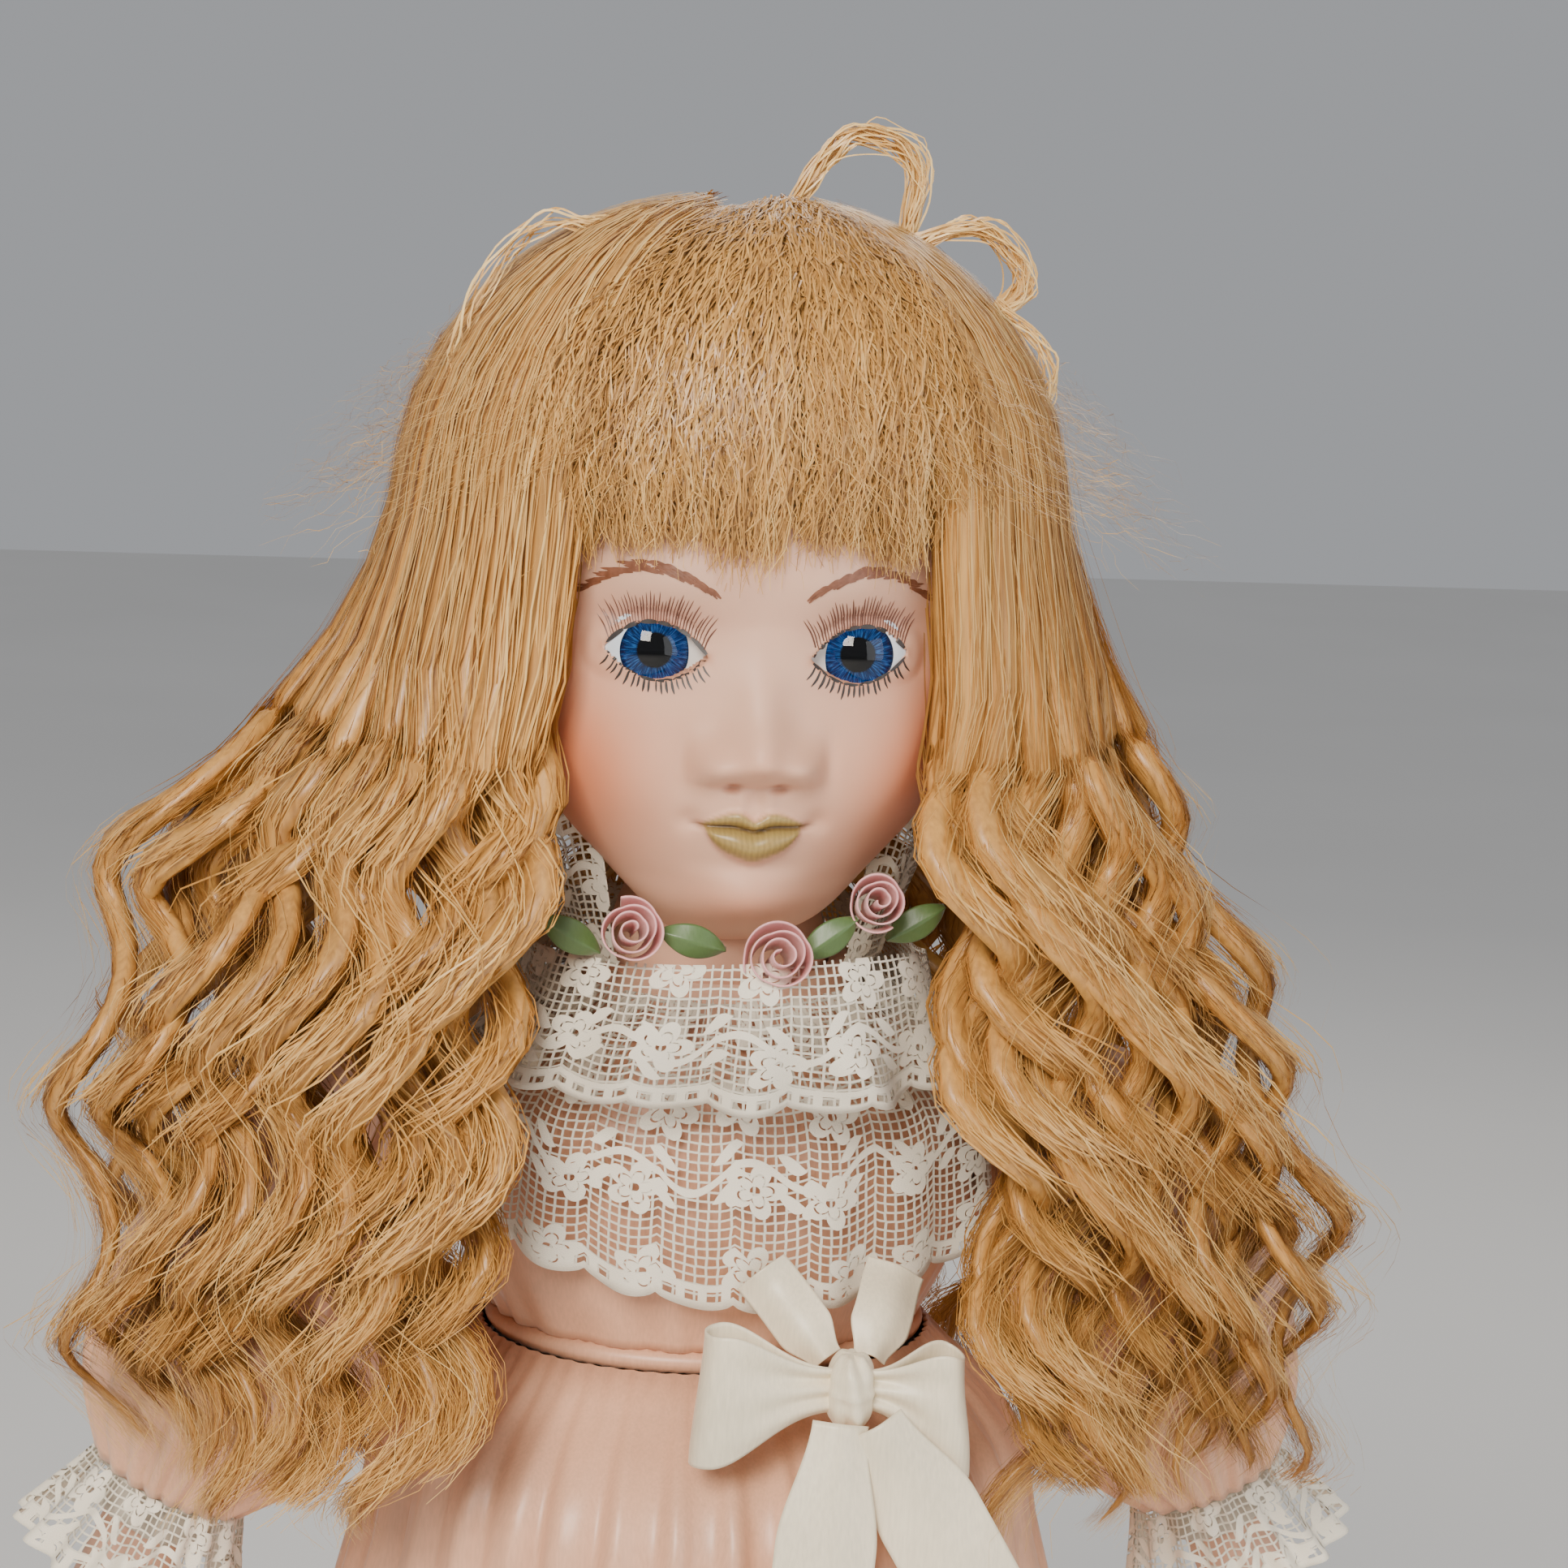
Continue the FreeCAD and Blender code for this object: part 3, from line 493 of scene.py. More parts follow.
def material(name, make):
    """Makes a material the first time it is asked for."""
    if name not in MADE:
        MADE[name] = make(Shader(name)).material
    return MADE[name]


def bisque(shader):
    skin = face_settings().skin
    cloud = shader.noise(60.0, detail=4.0)
    grain = shader.noise(2600.0, detail=2.0)
    pale = tuple(min(c * 1.06, 1.0) for c in skin)
    deep = tuple(c * f for c, f in zip(skin, (0.96, 0.9, 0.88)))
    colour = shader.colours(cloud, (0.3, deep), (0.7, pale))
    shader.set(base_color=colour, roughness=0.46 + grain * 0.12,
        normal=shader.bump(grain, 0.12, 0.00005))
    return shader.set(subsurface_weight=0.12, subsurface_scale=0.004,
        subsurface_radius=(1.0, 0.4, 0.25))


def painted_bisque(shader):
    paint = shader.attribute("paint", "Color")
    cloud = shader.noise(70.0, detail=4.0)
    grain = shader.noise(2600.0, detail=2.0)
    tone = shader.colours(cloud, (0.3, (0.93, 0.9, 0.89)), (0.7, (1.0, 1.0, 1.0)))
    gloss = shader.attribute("gloss")
    shader.set(
        base_color=shader.mix(1.0, paint, tone, "MULTIPLY"),
        roughness=0.5 - gloss * 0.2 + grain * 0.08,
        normal=shader.bump(grain, 0.12, 0.00005),
    )
    return shader.set(subsurface_weight=0.12, subsurface_scale=0.004,
        subsurface_radius=(1.0, 0.4, 0.25))


def brush_paint(colour):
    def make(shader):
        streak = shader.noise(900.0, detail=2.0)
        soft = tuple(min(c * 1.5 + 0.02, 1.0) for c in colour)
        return shader.set(base_color=shader.colours(streak, (0.3, colour), (0.75, soft)),
            roughness=0.42)

    return make


def satin(colour, sheen=0.25):
    """Woven satin: long floats along V, a soft broad gloss and slight unevenness."""

    def make(shader):
        where = shader.place()
        cloud = shader.noise(55.0, where, 4.0)
        weave = shader.noise(1.0, shader.stretch(where, (2600.0, 2600.0, 320.0)), 2.0)
        deep = tuple(c * 0.82 for c in colour)
        pale = tuple(min(c * 1.1, 1.0) for c in colour)
        tone = shader.colours(cloud * 0.65 + weave * 0.35, (0.32, deep), (0.68, pale))
        shader.set(base_color=tone, roughness=0.3 + weave * 0.16,
            normal=shader.bump(weave, 0.25, 0.00006))
        return shader.set(
            sheen_weight=sheen, sheen_roughness=0.35, sheen_tint=(1.0, 0.9, 0.8),
            specular_ior_level=0.55
        )

    return make


def plain_cloth(colour, scale=1500.0):
    def make(shader):
        where = shader.place()
        weave = shader.noise(scale, where, 2.0)
        cloud = shader.noise(70.0, where)
        deep = tuple(c * 0.86 for c in colour)
        tone = shader.colours(weave * 0.5 + cloud * 0.5, (0.3, deep), (0.7, colour))
        return shader.set(
            base_color=tone, roughness=0.82 + cloud * 0.1, normal=shader.bump(weave, 0.4, 0.0001),
            sheen_weight=0.15
        )

    return make


def hair(shader):
    """Fibre: each strand has its own shade, which holds painted light and shade as well as its own tone, and its
    length is streaked and slightly uneven.
    """
    look = wig_settings()
    shade = shader.attribute("shade")
    where = shader.place()
    streak = shader.noise(1.0, shader.stretch(where, (1300.0, 1300.0, 90.0)), 3.0)
    tone = shade * 0.8 + streak * 0.32 - 0.06
    mid = tuple((a + b) / 2 for a, b in zip(look.honey, look.pale))
    colour = shader.colours(
        tone, (0.08, tuple(look.deep)), (0.42, tuple(look.honey)), (0.68, mid), (0.95, tuple(look.pale))
    )
    shader.set(base_color=colour, roughness=0.3 + streak * 0.16,
        normal=shader.bump(streak, 0.35, 0.0001))
    return shader.set(specular_ior_level=0.6, anisotropic=0.5)


def lace(width, length):
    """Fine hexagonal net with flowers, leaves and a corded scalloped edge, for a strip of this size in mm."""

    def make(shader):
        flat = shader.flat()
        where = shader.stretch(flat, (length, width, 1.0))
        net = shader.node(
            "ShaderNodeTexVoronoi", {"feature": "DISTANCE_TO_EDGE", "voronoi_dimensions": "2D"},
            {"Vector": where, "Scale": 0.78, "Randomness": 0.12},
        )
        threads = net < 0.11
        cells = {"Vector": where, "Scale": 0.088, "Randomness": 0.35}
        centre = shader.node(
            "ShaderNodeTexVoronoi", {"feature": "F1", "voronoi_dimensions": "2D"}, cells, out="Distance"
        )
        spot = shader.node(
            "ShaderNodeTexVoronoi", {"feature": "F1", "voronoi_dimensions": "2D"}, cells, out="Position"
        )
        x, y, _ = shader.xyz(where)
        cx, cy, _ = shader.xyz(spot)
        turn = (y - cy).math("ARCTAN2", x - cx)
        petals = (turn * 2.5).math("COSINE").math("ABSOLUTE")
        outline = centre < (petals * 0.17 + 0.17)
        eye = centre > 0.055
        gap = (centre - (petals * 0.1 + 0.1)).math("ABSOLUTE") > 0.012
        flower = outline * eye * gap
        vine_wave = (x * 0.42).math("SINE") * 2.3
        vine = ((y - vine_wave - width * 0.55).math("ABSOLUTE")) < 0.55
        leaf_turn = (x * 0.84 + 0.8).math("SINE")
        leaf_middle = y - vine_wave - width * 0.55
        leaf = (leaf_middle.math("ABSOLUTE") - 2.6).math("ABSOLUTE") < (leaf_turn * 1.15 - 0.1)
        border = y > (width - 1.1)
        rim = (y > (width - 3.4)) * (y < (width - 2.5))
        ladder = ((x * 2.4).math("SINE") > 0.35) * (y > (width - 3.4))
        solid = flower.math("MAXIMUM", vine).math("MAXIMUM", leaf).math("MAXIMUM", border)
        solid = solid.math("MAXIMUM", rim).math("MAXIMUM", ladder)
        cover = solid.math("MAXIMUM", threads)
        fibre = shader.noise(1.0, shader.stretch(where, (5.0, 9.0, 1.0)), 2.0)
        colour = tuple(dress_settings().lace)
        deep = tuple(c * 0.8 for c in colour)
        shader.set(
            base_color=shader.colours(solid * 0.5 + fibre * 0.5, (0.25, deep), (0.8, colour)),
            alpha=cover,
            roughness=0.75 + fibre * 0.15,
            normal=shader.bump(solid * 0.6 + fibre * 0.4, 0.6, 0.00025),
        )
        return shader.set(sheen_weight=0.2)

    return make


def eye_white(shader):
    where = shader.place()
    cloud = shader.noise(160.0, where)
    tone = shader.colours(cloud, (0.3, (0.62, 0.70, 0.78)), (0.7, (0.76, 0.82, 0.87)))
    return shader.set(base_color=tone, roughness=0.08, coat_weight=1.0, coat_roughness=0.02)


def iris_glass(shader):
    """Radial blue threads, a dark ring outside and a black pupil, about the middle of each eye."""
    low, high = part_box("eye_irises")
    half = (high[2] - low[2]) / 2
    centre_x = high[0] - half
    centre_z = (high[2] + low[2]) / 2
    x, _, z = shader.xyz(shader.place())
    across = (x.math("ABSOLUTE") - centre_x) / half
    up = (z - centre_z) / half
    radius = (across * across + up * up).math("SQRT")
    turn = up.math("ARCTAN2", across)
    threads = shader.node(
        "ShaderNodeTexNoise", {"noise_dimensions": "2D"},
        {"Vector": shader.node("ShaderNodeCombineXYZ", None, [turn * 9.0, radius * 1.6, 0.0]),
        "Scale": 1.9, "Detail": 4.0},
    )
    blue = tuple(face_settings().iris)
    pale = (0.05, 0.26, 0.55)
    fleck = shader.colours(threads, (0.35, tuple(c * 0.45 for c in blue)), (0.52, blue), (0.7, pale))
    rimmed = shader.mix(shader.node("ShaderNodeMapRange", None, [radius, 0.8, 0.98, 0.0, 1.0]),
        fleck, (0.004, 0.006, 0.03))
    pupil = shader.node("ShaderNodeMapRange", None, [radius, 0.42, 0.47, 1.0, 0.0])
    colour = shader.mix(pupil, rimmed, (0.002, 0.002, 0.003))
    # The iris glows: painted light, standing in for the light that the clear lens keeps from it.
    shader.set(emission_color=colour, emission_strength=0.4)
    return shader.set(base_color=colour, roughness=0.25, coat_weight=0.6, coat_roughness=0.03)


def clear_glass(shader):
    return shader.set(
        base_color=(1.0, 1.0, 1.0), roughness=0.0, transmission_weight=1.0, ior=1.45,
        specular_ior_level=0.6
    )


def metal(shader):
    brush = shader.noise(1.0, shader.stretch(shader.place(), (1500.0, 1500.0, 120.0)), 2.0)
    tone = shader.colours(brush, (0.3, (0.42, 0.42, 0.43)), (0.7, (0.62, 0.62, 0.62)))
    return shader.set(base_color=tone, metallic=1.0, roughness=0.26 + brush * 0.2)


def wood(shader):
    grain = shader.noise(1.0, shader.stretch(shader.place(), (900.0, 120.0, 900.0)), 4.0)
    tone = shader.colours(grain, (0.3, (0.32, 0.17, 0.07)), (0.7, (0.56, 0.36, 0.19)))
    return shader.set(base_color=tone, roughness=0.5 + grain * 0.2, normal=shader.bump(grain, 0.3))


def leather(colour):
    def make(shader):
        pebble = shader.node("ShaderNodeTexVoronoi", None, {"Vector": shader.place(), "Scale": 1400.0})
        cloud = shader.noise(90.0)
        deep = tuple(c * 0.8 for c in colour)
        tone = shader.colours(cloud, (0.3, deep), (0.7, colour))
        return shader.set(base_color=tone, roughness=0.4 + cloud * 0.15,
            normal=shader.bump(pebble, 0.25, 0.0001))

    return make


def floor_paint(shader):
    cloud = shader.noise(3.0)
    tone = shader.colours(cloud, (0.3, (0.74, 0.73, 0.71)), (0.7, (0.78, 0.77, 0.75)))
    return shader.set(base_color=tone, roughness=0.7)


# ---------------------------------------------------------------- head
HEAD_LEVELS = (304.0, 313.0, 319.0, 327.0, 338.0, 350.0, 364.0, 377.0, 388.0, 394.5, 396.8)
HEAD_OVALS = (
    (5.0, 5.0, 3.0),
    (12.0, 11.0, -15.0),
    (18.0, 16.0, -13.0),
    (26.0, 24.0, -7.5),
    (31.5, 31.5, -2.0),
    (33.5, 36.0, 2.0),
    (34.5, 38.5, 4.0),
    (31.5, 35.5, 5.0),
    (24.0, 27.0, 5.0),
    (13.5, 15.5, 5.0),
    (3.0, 3.5, 5.0),
)
HEAD_MIDDLE = np.array((0.0, 0.0, 350.0))
EYE_HALF_WIDE = 6.3
UPPER_LID = 3.5
LOWER_LID = 3.3
LIP_HALF_WIDE = 6.7


def eye_place():
    """The middle of the left eyeball and its radius, in millimetres."""
    low, high = (np.array(corner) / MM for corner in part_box("eye_whites"))
    radius = (high[2] - low[2]) / 2
    return np.array((high[0] - radius, low[1] + radius, low[2] + radius)), radius


def lid_line(x, upper):
    """The lid's height over the eye's middle, for x measured outwards from the eye's middle."""
    part = np.clip(np.abs(x) / EYE_HALF_WIDE, 0.0, 1.0)
    tilt = 0.05 * x
    if upper:
        return UPPER_LID * (1.0 - part**2.3) + tilt
    return -LOWER_LID * (1.0 - part**2.0) + tilt


def mouth_line(x):
    dip = 0.35 * np.exp(-((x / 1.3) ** 2))
    peaks = 0.15 * np.exp(-(((np.abs(x) - 3.0) / 1.5) ** 2))
    return 326.2 + 0.004 * x * x - dip + peaks


def upper_lip_top(x):
    across = np.clip(np.abs(x) / LIP_HALF_WIDE, 0.0, 1.0)
    return mouth_line(x) + 2.3 * (1.0 - across**2.2) ** 0.8 - 0.75 * np.exp(-((x / 1.1) ** 2))


def lower_lip_bottom(x):
    across = np.clip(np.abs(x) / (LIP_HALF_WIDE * 0.92), 0.0, 1.0)
    return mouth_line(x) - 3.9 * (1.0 - across**2.6) ** 0.8 - 0.1


def head_start(directions):
    """Where rays from the middle of the head meet the plain egg of the skull and jaw."""
    near = np.zeros(len(directions))
    far = np.full(len(directions), 60.0)
    for _ in range(26):
        middle = (near + far) / 2
        p = HEAD_MIDDLE + directions * middle[:, None]
        rx, ry, cy = through(HEAD_LEVELS, HEAD_OVALS, p[:, 2]).T
        outside = (p[:, 0] / rx) ** 2 + ((p[:, 1] - cy) / ry) ** 2 > 1.0
        outside |= (p[:, 2] < HEAD_LEVELS[0]) | (p[:, 2] > HEAD_LEVELS[-1])
        far = np.where(outside, middle, far)
        near = np.where(outside, near, middle)
    return HEAD_MIDDLE + directions * near[:, None]


def model_face(p):
    """Pushes the features of the face out of the plain egg."""
    x, y, z = p.T
    ax = np.abs(x)
    front = smooth(-y, 4.0, 22.0)
    push = -1.5 * bell(ax, z, 12.5, 350.0, 7.5, 5.5)
    push += 0.9 * bell(ax, z, 12.0, 357.5, 8.0, 3.0)
    push -= 0.8 * bell(ax, z, 0.0, 349.0, 4.5, 5.0)
    push += 2.0 * bell(ax, z, 17.5, 332.5, 8.5, 8.0)
    push += 1.9 * bell(ax, z, 0.0, 327.0, 10.5, 7.5)
    push -= 0.7 * bell(ax, z, 0.0, 320.9, 5.5, 1.5)
    push += 3.3 * bell(ax, z, 0.0, 316.6, 7.5, 4.2)
    ridge = through((331.2, 333.0, 334.8, 337.0, 341.0, 346.0, 352.0),
        (0.0, 3.6, 5.9, 5.9, 3.5, 1.7, 0.2), z)
    ridge = ridge * smooth(z, 331.2, 332.6) * (1.0 - smooth(z, 350.0, 354.0))
    width = through((331.0, 335.0, 341.0, 350.0), (5.2, 4.9, 3.5, 3.8), z)
    push += ridge * np.exp(-((ax / width) ** 2))
    push += 3.3 * bell(ax, z, 5.7, 334.4, 2.8, 2.7)
    push += 0.9 * bell(ax, z, 0.0, 335.8, 3.0, 2.8)
    push -= 0.8 * bell(ax, z, 9.2, 334.8, 1.3, 3.0)
    push -= 1.5 * bell(ax, z, 3.2, 331.7, 1.3, 0.8)
    push -= 0.5 * bell(ax, z, 0.0, 330.0, 0.9, 1.6)
    push += 0.3 * bell(ax, z, 1.9, 330.0, 0.8, 1.7)
    across = np.clip(1.0 - (ax / LIP_HALF_WIDE) ** 2, 0.0, 1.0)
    line = mouth_line(x)
    top = upper_lip_top(x)
    bottom = lower_lip_bottom(x)
    upper_part = np.clip((z - line) / np.maximum(top - line, 0.3), -1.0, 2.0)
    lower_part = np.clip((line - z) / np.maximum(line - bottom, 0.3), -1.0, 2.0)
    upper_roll = np.where((upper_part > 0) & (upper_part < 1.25),
        np.sin(np.clip(upper_part, 0, 1.25) * math.pi / 1.25), 0)
    lower_roll = np.where((lower_part > 0) & (lower_part < 1.2),
        np.sin(np.clip(lower_part, 0, 1.2) * math.pi / 1.2), 0)
    push += (1.35 * upper_roll + 2.0 * lower_roll) * across**0.6
    push -= 0.9 * np.exp(-(((z - line) / 0.4) ** 2)) * (1.0 - smooth(ax, 6.6, 8.4))
    push -= 0.8 * bell(ax, z, 8.1, 326.9, 1.5, 1.5)
    push += 0.8 * bell(ax, z, 0.0, 366.0, 22.0, 12.0)
    y = y - push * front
    return np.stack([x, y, z], axis=1)


def open_eyes(p):
    """Wraps the lids round the eyeballs and sinks the openings behind them."""
    eye, radius = eye_place()
    x, y, z = p.T
    out = np.abs(x) - eye[0]
    up = z - eye[2]
    front = y < -8.0
    reach = np.sqrt(out**2 + up**2)
    lid_r = radius + 1.15
    lid_y = eye[1] - np.sqrt(np.maximum(lid_r**2 - reach**2, 0.0))
    near = (reach < lid_r) & front
    soft = 0.55
    blend = np.clip(0.5 + 0.5 * (y - lid_y) / soft, 0.0, 1.0)
    wrapped = y * (1.0 - blend) + lid_y * blend - soft * 0.5 * blend * (1.0 - blend)
    y = np.where(near, wrapped, y)
    over = up - lid_line(out, True)
    under = lid_line(out, False) - up
    inside = np.maximum(np.maximum(over, under), np.abs(out) - EYE_HALF_WIDE)
    crease = np.exp(-(((over - 1.7) / 0.45) ** 2)) * (np.abs(out) < 7.0) * smooth(7.0 - np.abs(out),
        0.0, 2.5)
    y = np.where(front, y + 0.45 * crease, y)
    back_y = eye[1] - 2.0
    sink = (1.0 - smooth(inside, -0.32, 0.02)) * front * (reach < radius)
    y = y * (1.0 - sink) + np.maximum(back_y, y) * sink
    return np.stack([x, y, z], axis=1), inside


def face_paint(p, inside):
    """The colours fired on the bisque, with painted shade under the bangs and inside the eye openings, point by point,
    and how much each shines.
    """
    look = face_settings()
    x, y, z = p.T
    ax = np.abs(x)
    front = smooth(-y, 4.0, 20.0)
    colour = np.tile(np.array(look.skin), (len(p), 1))

    def wash(tint, amount):
        amount = np.clip(amount, 0.0, 1.0)[:, None]
        return colour * (1.0 - amount) + np.array(tint) * amount

    colour = wash(look.blush, 0.95 * bell(ax, z, 25.0, 331.0, 11.5, 13.0) * smooth(-y, 0.0, 12.0))
    colour = wash(look.blush, 0.30 * bell(ax, z, 0.0, 315.5, 9.0, 3.6) * front)
    colour = wash(look.blush, 0.16 * bell(ax, z, 0.0, 335.0, 4.5, 3.0) * front)
    # Painted shade: the forehead turns darker and duller towards the hairline, under the bangs.
    colour = wash((0.60, 0.36, 0.32), 0.5 * smooth(z, 357.0, 368.0) * front)
    colour = wash(look.lid, 0.72 * bell(ax, z, 13.2, 352.6, 7.2, 2.1) * front)
    colour = wash(look.lid, 0.25 * bell(ax, z, 13.2, 344.2, 6.5, 1.3) * front)
    colour = wash((0.55, 0.22, 0.12), 0.55 * np.exp(-((inside / 0.7) ** 2)) * front)
    edge = np.minimum(upper_lip_top(x) - z, z - lower_lip_bottom(x))
    on_lips = smooth(edge, -0.2, 0.3) * (ax < LIP_HALF_WIDE) * (y < -15.0)
    crack = 0.85 + 0.15 * np.sin(x * 9.0 + 0.8 * np.sin(z * 3.0))
    lips = np.array(look.lips) * crack[:, None]
    colour = colour * (1.0 - on_lips[:, None] * 0.93) + lips * on_lips[:, None] * 0.93
    seam = np.exp(-(((z - mouth_line(x)) / 0.3) ** 2)) * (1.0 - smooth(ax, 6.6, 8.6)) * (y < -15.0)
    colour = wash((0.16, 0.06, 0.02), 0.8 * seam)
    nostril = bell(ax, z, 2.8, 332.0, 1.0, 0.6) * front
    colour = wash((0.36, 0.12, 0.06), 0.6 * nostril)
    # Painted shade: the sunken skin inside each eye opening, behind the lids, is painted near black.
    dark = ((inside < -0.25) & (y < -15.0)).astype(float)
    colour = wash((0.03, 0.015, 0.012), dark)
    return colour, on_lips * 0.9


SKULL_LONG = 320
SKULL_LAT = 210


def spread_directions(co):
    """Sphere points turned into directions that crowd together over the face."""
    lon = np.arctan2(co[:, 0], -co[:, 1])
    lat = np.arcsin(np.clip(co[:, 2], -1.0, 1.0))
    far = np.abs(lon) / math.pi
    lon = np.sign(lon) * math.pi * (0.42 * far + 0.58 * far**2.6)
    level = lat / (math.pi / 2)
    lat = (math.pi / 2) * (0.47 * level + 0.53 * level**3) - 0.30 * (1.0 - level**2)
    return np.stack([np.sin(lon) * np.cos(lat), -np.cos(lon) * np.cos(lat), np.sin(lat)], axis=1)


def make_head():
    """The head of a bisque doll, with lids round glass eyes and its face painted on."""
    deselect()
    bpy.ops.mesh.primitive_uv_sphere_add(segments=SKULL_LONG, ring_count=SKULL_LAT, radius=1.0)
    piece = bpy.context.object
    piece.name = "bisque_head"
    p = model_face(head_start(spread_directions(points_of(piece))))
    p, inside = open_eyes(p)
    lid = smooth(p[:, 2], 384.0, 390.0)
    p = HEAD_MIDDLE + (p - HEAD_MIDDLE) * (1.0 - 0.06 * lid)[:, None]
    points(piece, p)
    shade_smooth(piece)
    colour, gloss = face_paint(p, inside)
    # This attribute holds the fired colours together with the painted shade under the bangs and in the eye openings.
    paint = piece.data.attributes.new("paint", "FLOAT_COLOR", "POINT")
    paint.data.foreach_set("color", np.hstack([colour,
        np.ones((len(p), 1))]).ravel().astype(np.float32))
    shine = piece.data.attributes.new("gloss", "FLOAT", "POINT")
    shine.data.foreach_set("value", gloss.astype(np.float32))
    dress_in(piece, material("painted_bisque", painted_bisque))
    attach(piece, "head")
    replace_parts(piece, "head_bisque")
    return piece


def make_neck():
    """The neck, which widens to the ball that turns in the shoulder plate."""
    low, high = (np.array(corner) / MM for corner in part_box("head_bisque"))
    joint = next(np.array(j["pos_m"]) / MM for j in frame["joints"] if j["name"] == "head_turn")
    profile_z = (low[2], low[2] + 2.5, low[2] + 8.0, joint[2], joint[2] + 6.0, joint[2] + 10.0,
        joint[2] + 20.0)
    profile_r = (5.0, 9.4, 13.6, 14.9, 13.8, 12.2, 12.6)

    def place(u, v):
        z = low[2] + v * (profile_z[-1] - low[2])
        r = through(profile_z, profile_r, z)
        return np.stack([r * np.cos(u * TAU), joint[1] + r * np.sin(u * TAU), z], axis=1)

    piece = cloth("bisque_neck", 64, 40, place, wall=-2.2, wrap=True)
    dress_in(piece, material("bisque", bisque))
    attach(piece, "head")


def strokes_on(surface, name, lines, wide, body, paint_of, lift=0.07):
    """Brush strokes: thin tapered strips on the face. Each line is a list of (x, z) in millimetres."""
    tree = BVHTree.FromObject(surface, bpy.context.evaluated_depsgraph_get())
    steps = 9
    made = []
    for line in lines:
        line = np.asarray(line, float)
        t = np.linspace(0, 1, len(line))
        at = np.linspace(0, 1, steps)
        xs = through(t, line[:, 0], at)
        zs = through(t, line[:, 1], at)
        path = []
        for x, z in zip(xs, zs):
            hit = tree.ray_cast(Vector((x, -80.0, z)) * MM, Vector((0, 1, 0)))[0]
            y = hit.y / MM - lift if hit is not None else -34.0
            path.append((x, y, z))
        made.append(path)
    paths = np.array(made)
    taper = np.sin(np.linspace(0.12, 1.0, steps) * math.pi) ** 0.6
    widths = np.asarray(wide, float)[:, None] * taper[None, :]
    outward = np.zeros_like(paths)
    outward[..., 1] = -1.0
    piece = ribbons(name, paths, widths, outward, np.zeros(widths.shape))
    dress_in(piece, paint_of)
    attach(piece, body)
    return piece


def brow_lines(rng):
    """Feathered strokes that rise from the nose and fall to the temple, for both brows."""
    lines = []
    wide = []
    for sign in (1, -1):
        for i in range(70):
            t = i / 69.0
            x = 5.4 + 15.8 * t
            z = float(through((0.0, 0.25, 0.5, 0.75, 1.0), (355.2, 357.7, 358.9, 358.2, 355.6), t))
            thick = 1.5 * math.sin((0.16 + 0.8 * t) * math.pi) ** 0.8
            start = z + rng.uniform(-0.5, 0.35) * thick
            lean = 1.1 - 1.7 * t
            length = rng.uniform(1.6, 2.6)
            lines.append(
                [(sign * x, start), (sign * (x + length * 0.55), start + lean * length * 0.5),
                 (sign * (x + length), start + lean * length * 0.55)]
            )
            wide.append(rng.uniform(0.26, 0.48))
    return lines, wide


def lash_lines(rng, upper):
    """Painted lashes round both eyes, long and fine above, short below."""
    eye, _ = eye_place()
    lines = []
    wide = []
    count = 36 if upper else 19
    for sign in (1, -1):
        for i in range(count):
            t = -0.92 + 1.84 * (i + rng.uniform(-0.2, 0.2)) / (count - 1)
            out = t * EYE_HALF_WIDE
            start = float(lid_line(np.array(out), upper)) + (0.35 if upper else -0.25)
            length = rng.uniform(2.8, 4.4) if upper else rng.uniform(1.3, 2.1)
            lean = t * (0.55 if upper else 0.75)
            rise = length if upper else -length
            x0 = sign * (eye[0] + out)
            z0 = eye[2] + start
            lines.append([(x0, z0), (x0 + sign * lean * length * 0.4, z0 + rise * 0.55),
                (x0 + sign * lean * length, z0 + rise)])
            wide.append(rng.uniform(0.13, 0.22) if upper else rng.uniform(0.22, 0.34))
    return lines, wide


def rim_lines():
    """The dark line painted along each lid."""
    eye, _ = eye_place()
    lines = []
    wide = []
    for sign in (1, -1):
        for upper in (True, False):
            out = np.linspace(-0.98, 0.98, 13) * EYE_HALF_WIDE
            height = lid_line(out, upper) + (0.28 if upper else -0.2)
            for i in range(0, 12, 2):
                part = slice(i, i + 3)
                lines.append(list(zip(sign * (eye[0] + out[part]), eye[2] + height[part])))
                wide.append(0.62 if upper else 0.42)
    return lines, wide


def make_face_paint(head):
    rng = np.random.default_rng(5)
    brown = material("brow_paint", brush_paint((0.17, 0.06, 0.028)))
    lash = material("lash_paint", brush_paint((0.09, 0.028, 0.014)))
    black = material("lower_lash_paint", brush_paint((0.02, 0.014, 0.012)))
    strokes_on(head, "brow_strokes", *brow_lines(rng), "head", brown)
    strokes_on(head, "upper_lash_strokes", *lash_lines(rng, True), "head", lash)
    strokes_on(head, "lower_lash_strokes", *lash_lines(rng, False), "head", black)
    strokes_on(head, "lid_line_strokes", *rim_lines(), "head", black, lift=0.1)


def finish_eyes():
    finish_node("eye_whites", material("eye_white", eye_white))
    finish_node("eye_irises", material("iris_glass", iris_glass))
    finish_node("eye_lenses", material("clear_glass", clear_glass))


